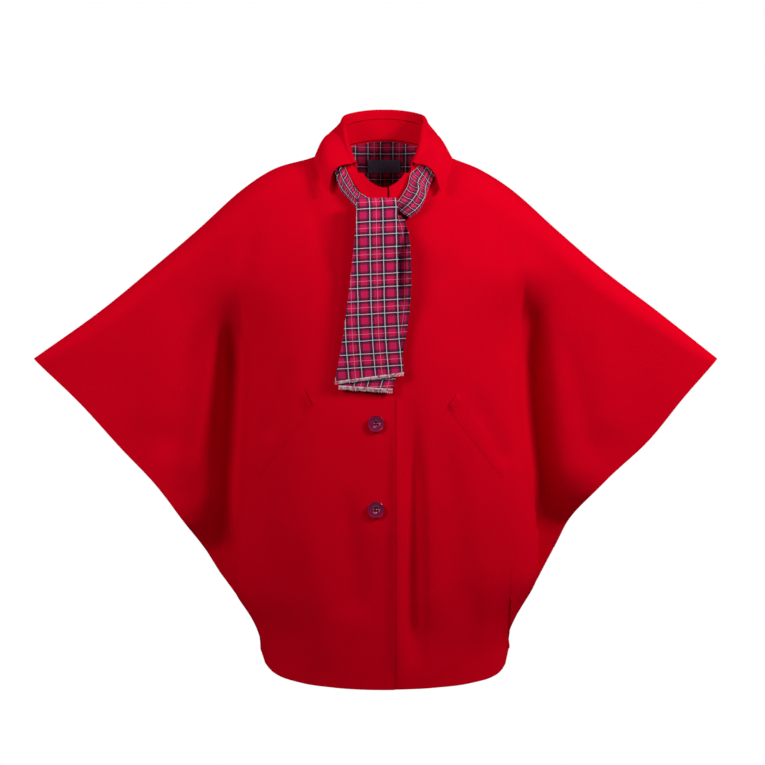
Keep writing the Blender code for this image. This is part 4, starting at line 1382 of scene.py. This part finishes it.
def thread_material():
    made, tree, shader = new_material("sewing thread", 0.6, 0.1)
    place = node(tree, "ShaderNodeTexCoord").outputs["Object"]
    ply = noise(tree, place, 3000.0, 1.0)
    join(tree, shader, blend(tree, ply, THREAD_DARK, THREAD_LIGHT), ply, 0.0001, 0.6)
    return made


plum = button_material()
thread = thread_material()
print("finishes:", plum.name, "and", thread.name)

# %% [markdown]
# Each button is a cone frustum with a sunken middle. It could be spun from a drawn
# profile, but an inset of the top leaves the raised rim in one step. A bevel rounds
# the rim, and four thin cylinders cut the holes.

# %% One button
BUTTON_RADIUS = 0.0122
BUTTON_TAPER = 0.0008
BUTTON_THICK = 0.0034
BUTTON_RIM = 0.0020
BUTTON_DISH = 0.0009
BUTTON_ROUND = 0.0005
HOLE_RADIUS = 0.0011
HOLE_SPREAD = 0.0028


def new_object(name, mesh, finish, angle):
    data = bpy.data.meshes.new(name)
    mesh.to_mesh(data)
    mesh.free()
    data.materials.append(finish)
    data.shade_smooth()
    data.set_sharp_from_angle(angle=angle)
    made = bpy.data.objects.new(name, data)
    bpy.context.scene.collection.objects.link(made)
    return made


def four_holes():
    holes = bmesh.new()
    for turn in range(4):
        made = bmesh.ops.create_cone(
            holes, cap_ends=True, segments=16, radius1=HOLE_RADIUS, radius2=HOLE_RADIUS,
            depth=4 * BUTTON_THICK,
        )
        angle = math.radians(45 + 90 * turn)
        shift = Vector((math.cos(angle), math.sin(angle), 0)) * HOLE_SPREAD
        bmesh.ops.translate(holes, verts=made["verts"], vec=shift)
    return new_object("holes", holes, None, math.radians(30))


def button_mesh():
    mesh = bmesh.new()
    bmesh.ops.create_cone(
        mesh, cap_ends=True, segments=56, radius1=BUTTON_RADIUS - BUTTON_TAPER,
        radius2=BUTTON_RADIUS, depth=BUTTON_THICK,
    )
    top = max(mesh.faces, key=lambda face: face.calc_center_median().z)
    bmesh.ops.inset_individual(mesh, faces=[top], thickness=BUTTON_RIM, depth=-BUTTON_DISH)
    corners = [edge for edge in mesh.edges if edge.calc_face_angle(0) > math.radians(22)
               and abs(edge.verts[0].co.z - edge.verts[1].co.z) < 1e-5]
    bmesh.ops.bevel(
        mesh, geom=corners, offset=BUTTON_ROUND, offset_type="OFFSET", segments=3, profile=0.5,
        affect="EDGES", material=-1,
    )
    bmesh.ops.translate(mesh, verts=mesh.verts[:], vec=(0, 0, BUTTON_THICK / 2))
    return mesh


def cut_holes(button):
    """Cuts the four holes with a boolean and keeps the result as the mesh."""
    cutter = four_holes()
    cut = button.modifiers.new("holes", "BOOLEAN")
    cut.operation = "DIFFERENCE"
    cut.solver = "EXACT"
    cut.object = cutter
    bpy.context.view_layer.update()
    whole = button.evaluated_get(bpy.context.evaluated_depsgraph_get())
    button.data = bpy.data.meshes.new_from_object(whole)
    button.modifiers.clear()
    bpy.data.objects.remove(cutter)


print("button:", round(2000 * BUTTON_RADIUS, 1), "mm across")

# %% [markdown]
# The buttons sit in one evenly spaced row on the right front, each turned to lie on
# the cloth below it. Two short bars of thread cross each one between its holes.

# %% Four buttons
BUTTON_OUT = 0.012
BUTTON_LIFT = 0.0009
BUTTON_HEIGHTS = (-0.143, -0.270, -0.397, -0.524)
THREAD_RADIUS = 0.00035
THREAD_LIFT = 0.0001
BAR_SHARE = 0.72
HOLE_DIAGONAL = 0.707


def thread_bars():
    bars = bmesh.new()
    lift = BUTTON_THICK - BUTTON_DISH + THREAD_RADIUS + THREAD_LIFT
    for side in (-1, 1):
        made = bmesh.ops.create_uvsphere(bars, u_segments=8, v_segments=6, radius=THREAD_RADIUS)
        long_bar = Matrix.Diagonal((HOLE_SPREAD * BAR_SHARE / THREAD_RADIUS, 1, 1, 1))
        bmesh.ops.transform(bars, matrix=long_bar, verts=made["verts"])
        beside = side * HOLE_SPREAD * HOLE_DIAGONAL
        bmesh.ops.translate(bars, verts=made["verts"], vec=(0, beside, lift))
    return bars


for number, height in enumerate(BUTTON_HEIGHTS, start=1):
    foot = lay_on("front_right", -BUTTON_OUT, height, BUTTON_LIFT)
    outward = (foot - lay_on("front_right", -BUTTON_OUT, height, 0)).normalized()
    turned = Matrix.Translation(foot) @ outward.to_track_quat("Z", "Y").to_matrix().to_4x4()
    button = new_object(f"button_{number}_turned", button_mesh(), plum, math.radians(35))
    cut_holes(button)
    button.data.transform(turned)
    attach(button, "root")
    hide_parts(f"button_{number}")
    bar = new_object(f"button_{number}_thread", thread_bars(), thread, math.radians(60))
    bar.data.transform(turned)
    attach(bar, "root")
print("buttons:", len(BUTTON_HEIGHTS))

# %% [markdown]
# ## Flat sizes
# Cloth doesn't stretch much, so a draped piece keeps the area that was cut. Each
# sheet prints the area of its outer skin as it is made.


for name, welt in welts.items():
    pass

# %% [markdown]
# ## Studio
# The cape is shown as a cut-out on white. Two soft lamps from the viewer's right
# make the folds show, two weaker ones from the left fill the shadows, and one from
# behind marks the edges. The world looks white to the camera but hardly lights the
# cloth, so that the folds keep their shadows.

# %% Floor, world and lights
FLOOR_HEIGHT = -1.40
FLOOR_HALF = 0.8
FLOOR_GREY, FLOOR_PALE = (0.84, 0.84, 0.84, 1), (0.90, 0.90, 0.90, 1)
WORLD_LIGHT = 0.02
WORLD_SEEN = 1.0
LIGHT_AIM = (0, 0, -0.2)
# name, place, width in metres, power in watts
LIGHTS = (
    ("key", (1.5, -0.9, 0.85), 0.5, 36),
    ("key_above", (1.35, -1.75, 1.45), 0.5, 10),
    ("fill", (-1.3, -1.0, 0.5), 0.6, 14),
    ("fill_above", (-1.6, -1.9, 1.2), 0.8, 12),
    ("rim", (-0.6, 2.4, 1.6), 1.2, 30),
)
floor_mesh = bmesh.new()
bmesh.ops.create_grid(floor_mesh, x_segments=1, y_segments=1, size=FLOOR_HALF)
bmesh.ops.translate(floor_mesh, verts=floor_mesh.verts[:], vec=(0, 0, FLOOR_HEIGHT))
floor_finish, floor_tree, floor_shader = new_material("floor", 0.8)
floor_noise = node(floor_tree, "ShaderNodeTexNoise", [("Scale", 3.0)])
floor_tone = blend(floor_tree, floor_noise.outputs["Fac"], FLOOR_GREY, FLOOR_PALE)
floor_tree.links.new(floor_tone, floor_shader.inputs["Base Color"])
floor = new_object("floor", floor_mesh, floor_finish, math.radians(30))

world = bpy.data.worlds.new("studio")
bpy.context.scene.world = world
world.use_nodes = True
sky = world.node_tree
backdrop = sky.nodes["Background"]
backdrop.inputs["Color"].default_value = (1, 1, 1, 1)
seen = node(sky, "ShaderNodeLightPath").outputs["Is Camera Ray"]
limits = [("Value", seen), ("To Min", WORLD_LIGHT), ("To Max", WORLD_SEEN)]
strength = node(sky, "ShaderNodeMapRange", limits)
sky.links.new(strength.outputs[0], backdrop.inputs["Strength"])


def area_light(name, place, size, power):
    data = bpy.data.lights.new(name, "AREA")
    data.shape = "DISK"
    data.size = size
    data.energy = power
    made = bpy.data.objects.new(name, data)
    made.location = place
    made.rotation_euler = (Vector(LIGHT_AIM) - Vector(place)).to_track_quat("-Z", "Y").to_euler()
    bpy.context.scene.collection.objects.link(made)


for row in LIGHTS:
    area_light(*row)
print("lights:", len(LIGHTS))

# %% [markdown]
# The camera stands in front of the cape, at the height of the chest, and looks down
# a little. From further away a longer lens would flatten the cape, so the camera
# stands where its outline looks as it does in the photo.

# %% Camera
CAMERA_PLACE = Vector((-0.0023, -3.3468, -0.1962))
CAMERA_AIM = Vector((-0.0023, 0.0, -0.3423))
FRAME_WIDTH = 1.1769
SENSOR = 36.0
camera_data = bpy.data.cameras.new("camera")
camera_data.sensor_width = SENSOR
camera_data.lens = SENSOR * (CAMERA_AIM - CAMERA_PLACE).length / FRAME_WIDTH
camera = bpy.data.objects.new("camera", camera_data)
camera.location = CAMERA_PLACE
camera.rotation_euler = (CAMERA_AIM - CAMERA_PLACE).to_track_quat("-Z", "Y").to_euler()
bpy.context.scene.collection.objects.link(camera)
bpy.context.scene.camera = camera
bpy.context.scene.view_settings.view_transform = "Standard"
print("camera lens:", round(camera_data.lens, 1), "mm")
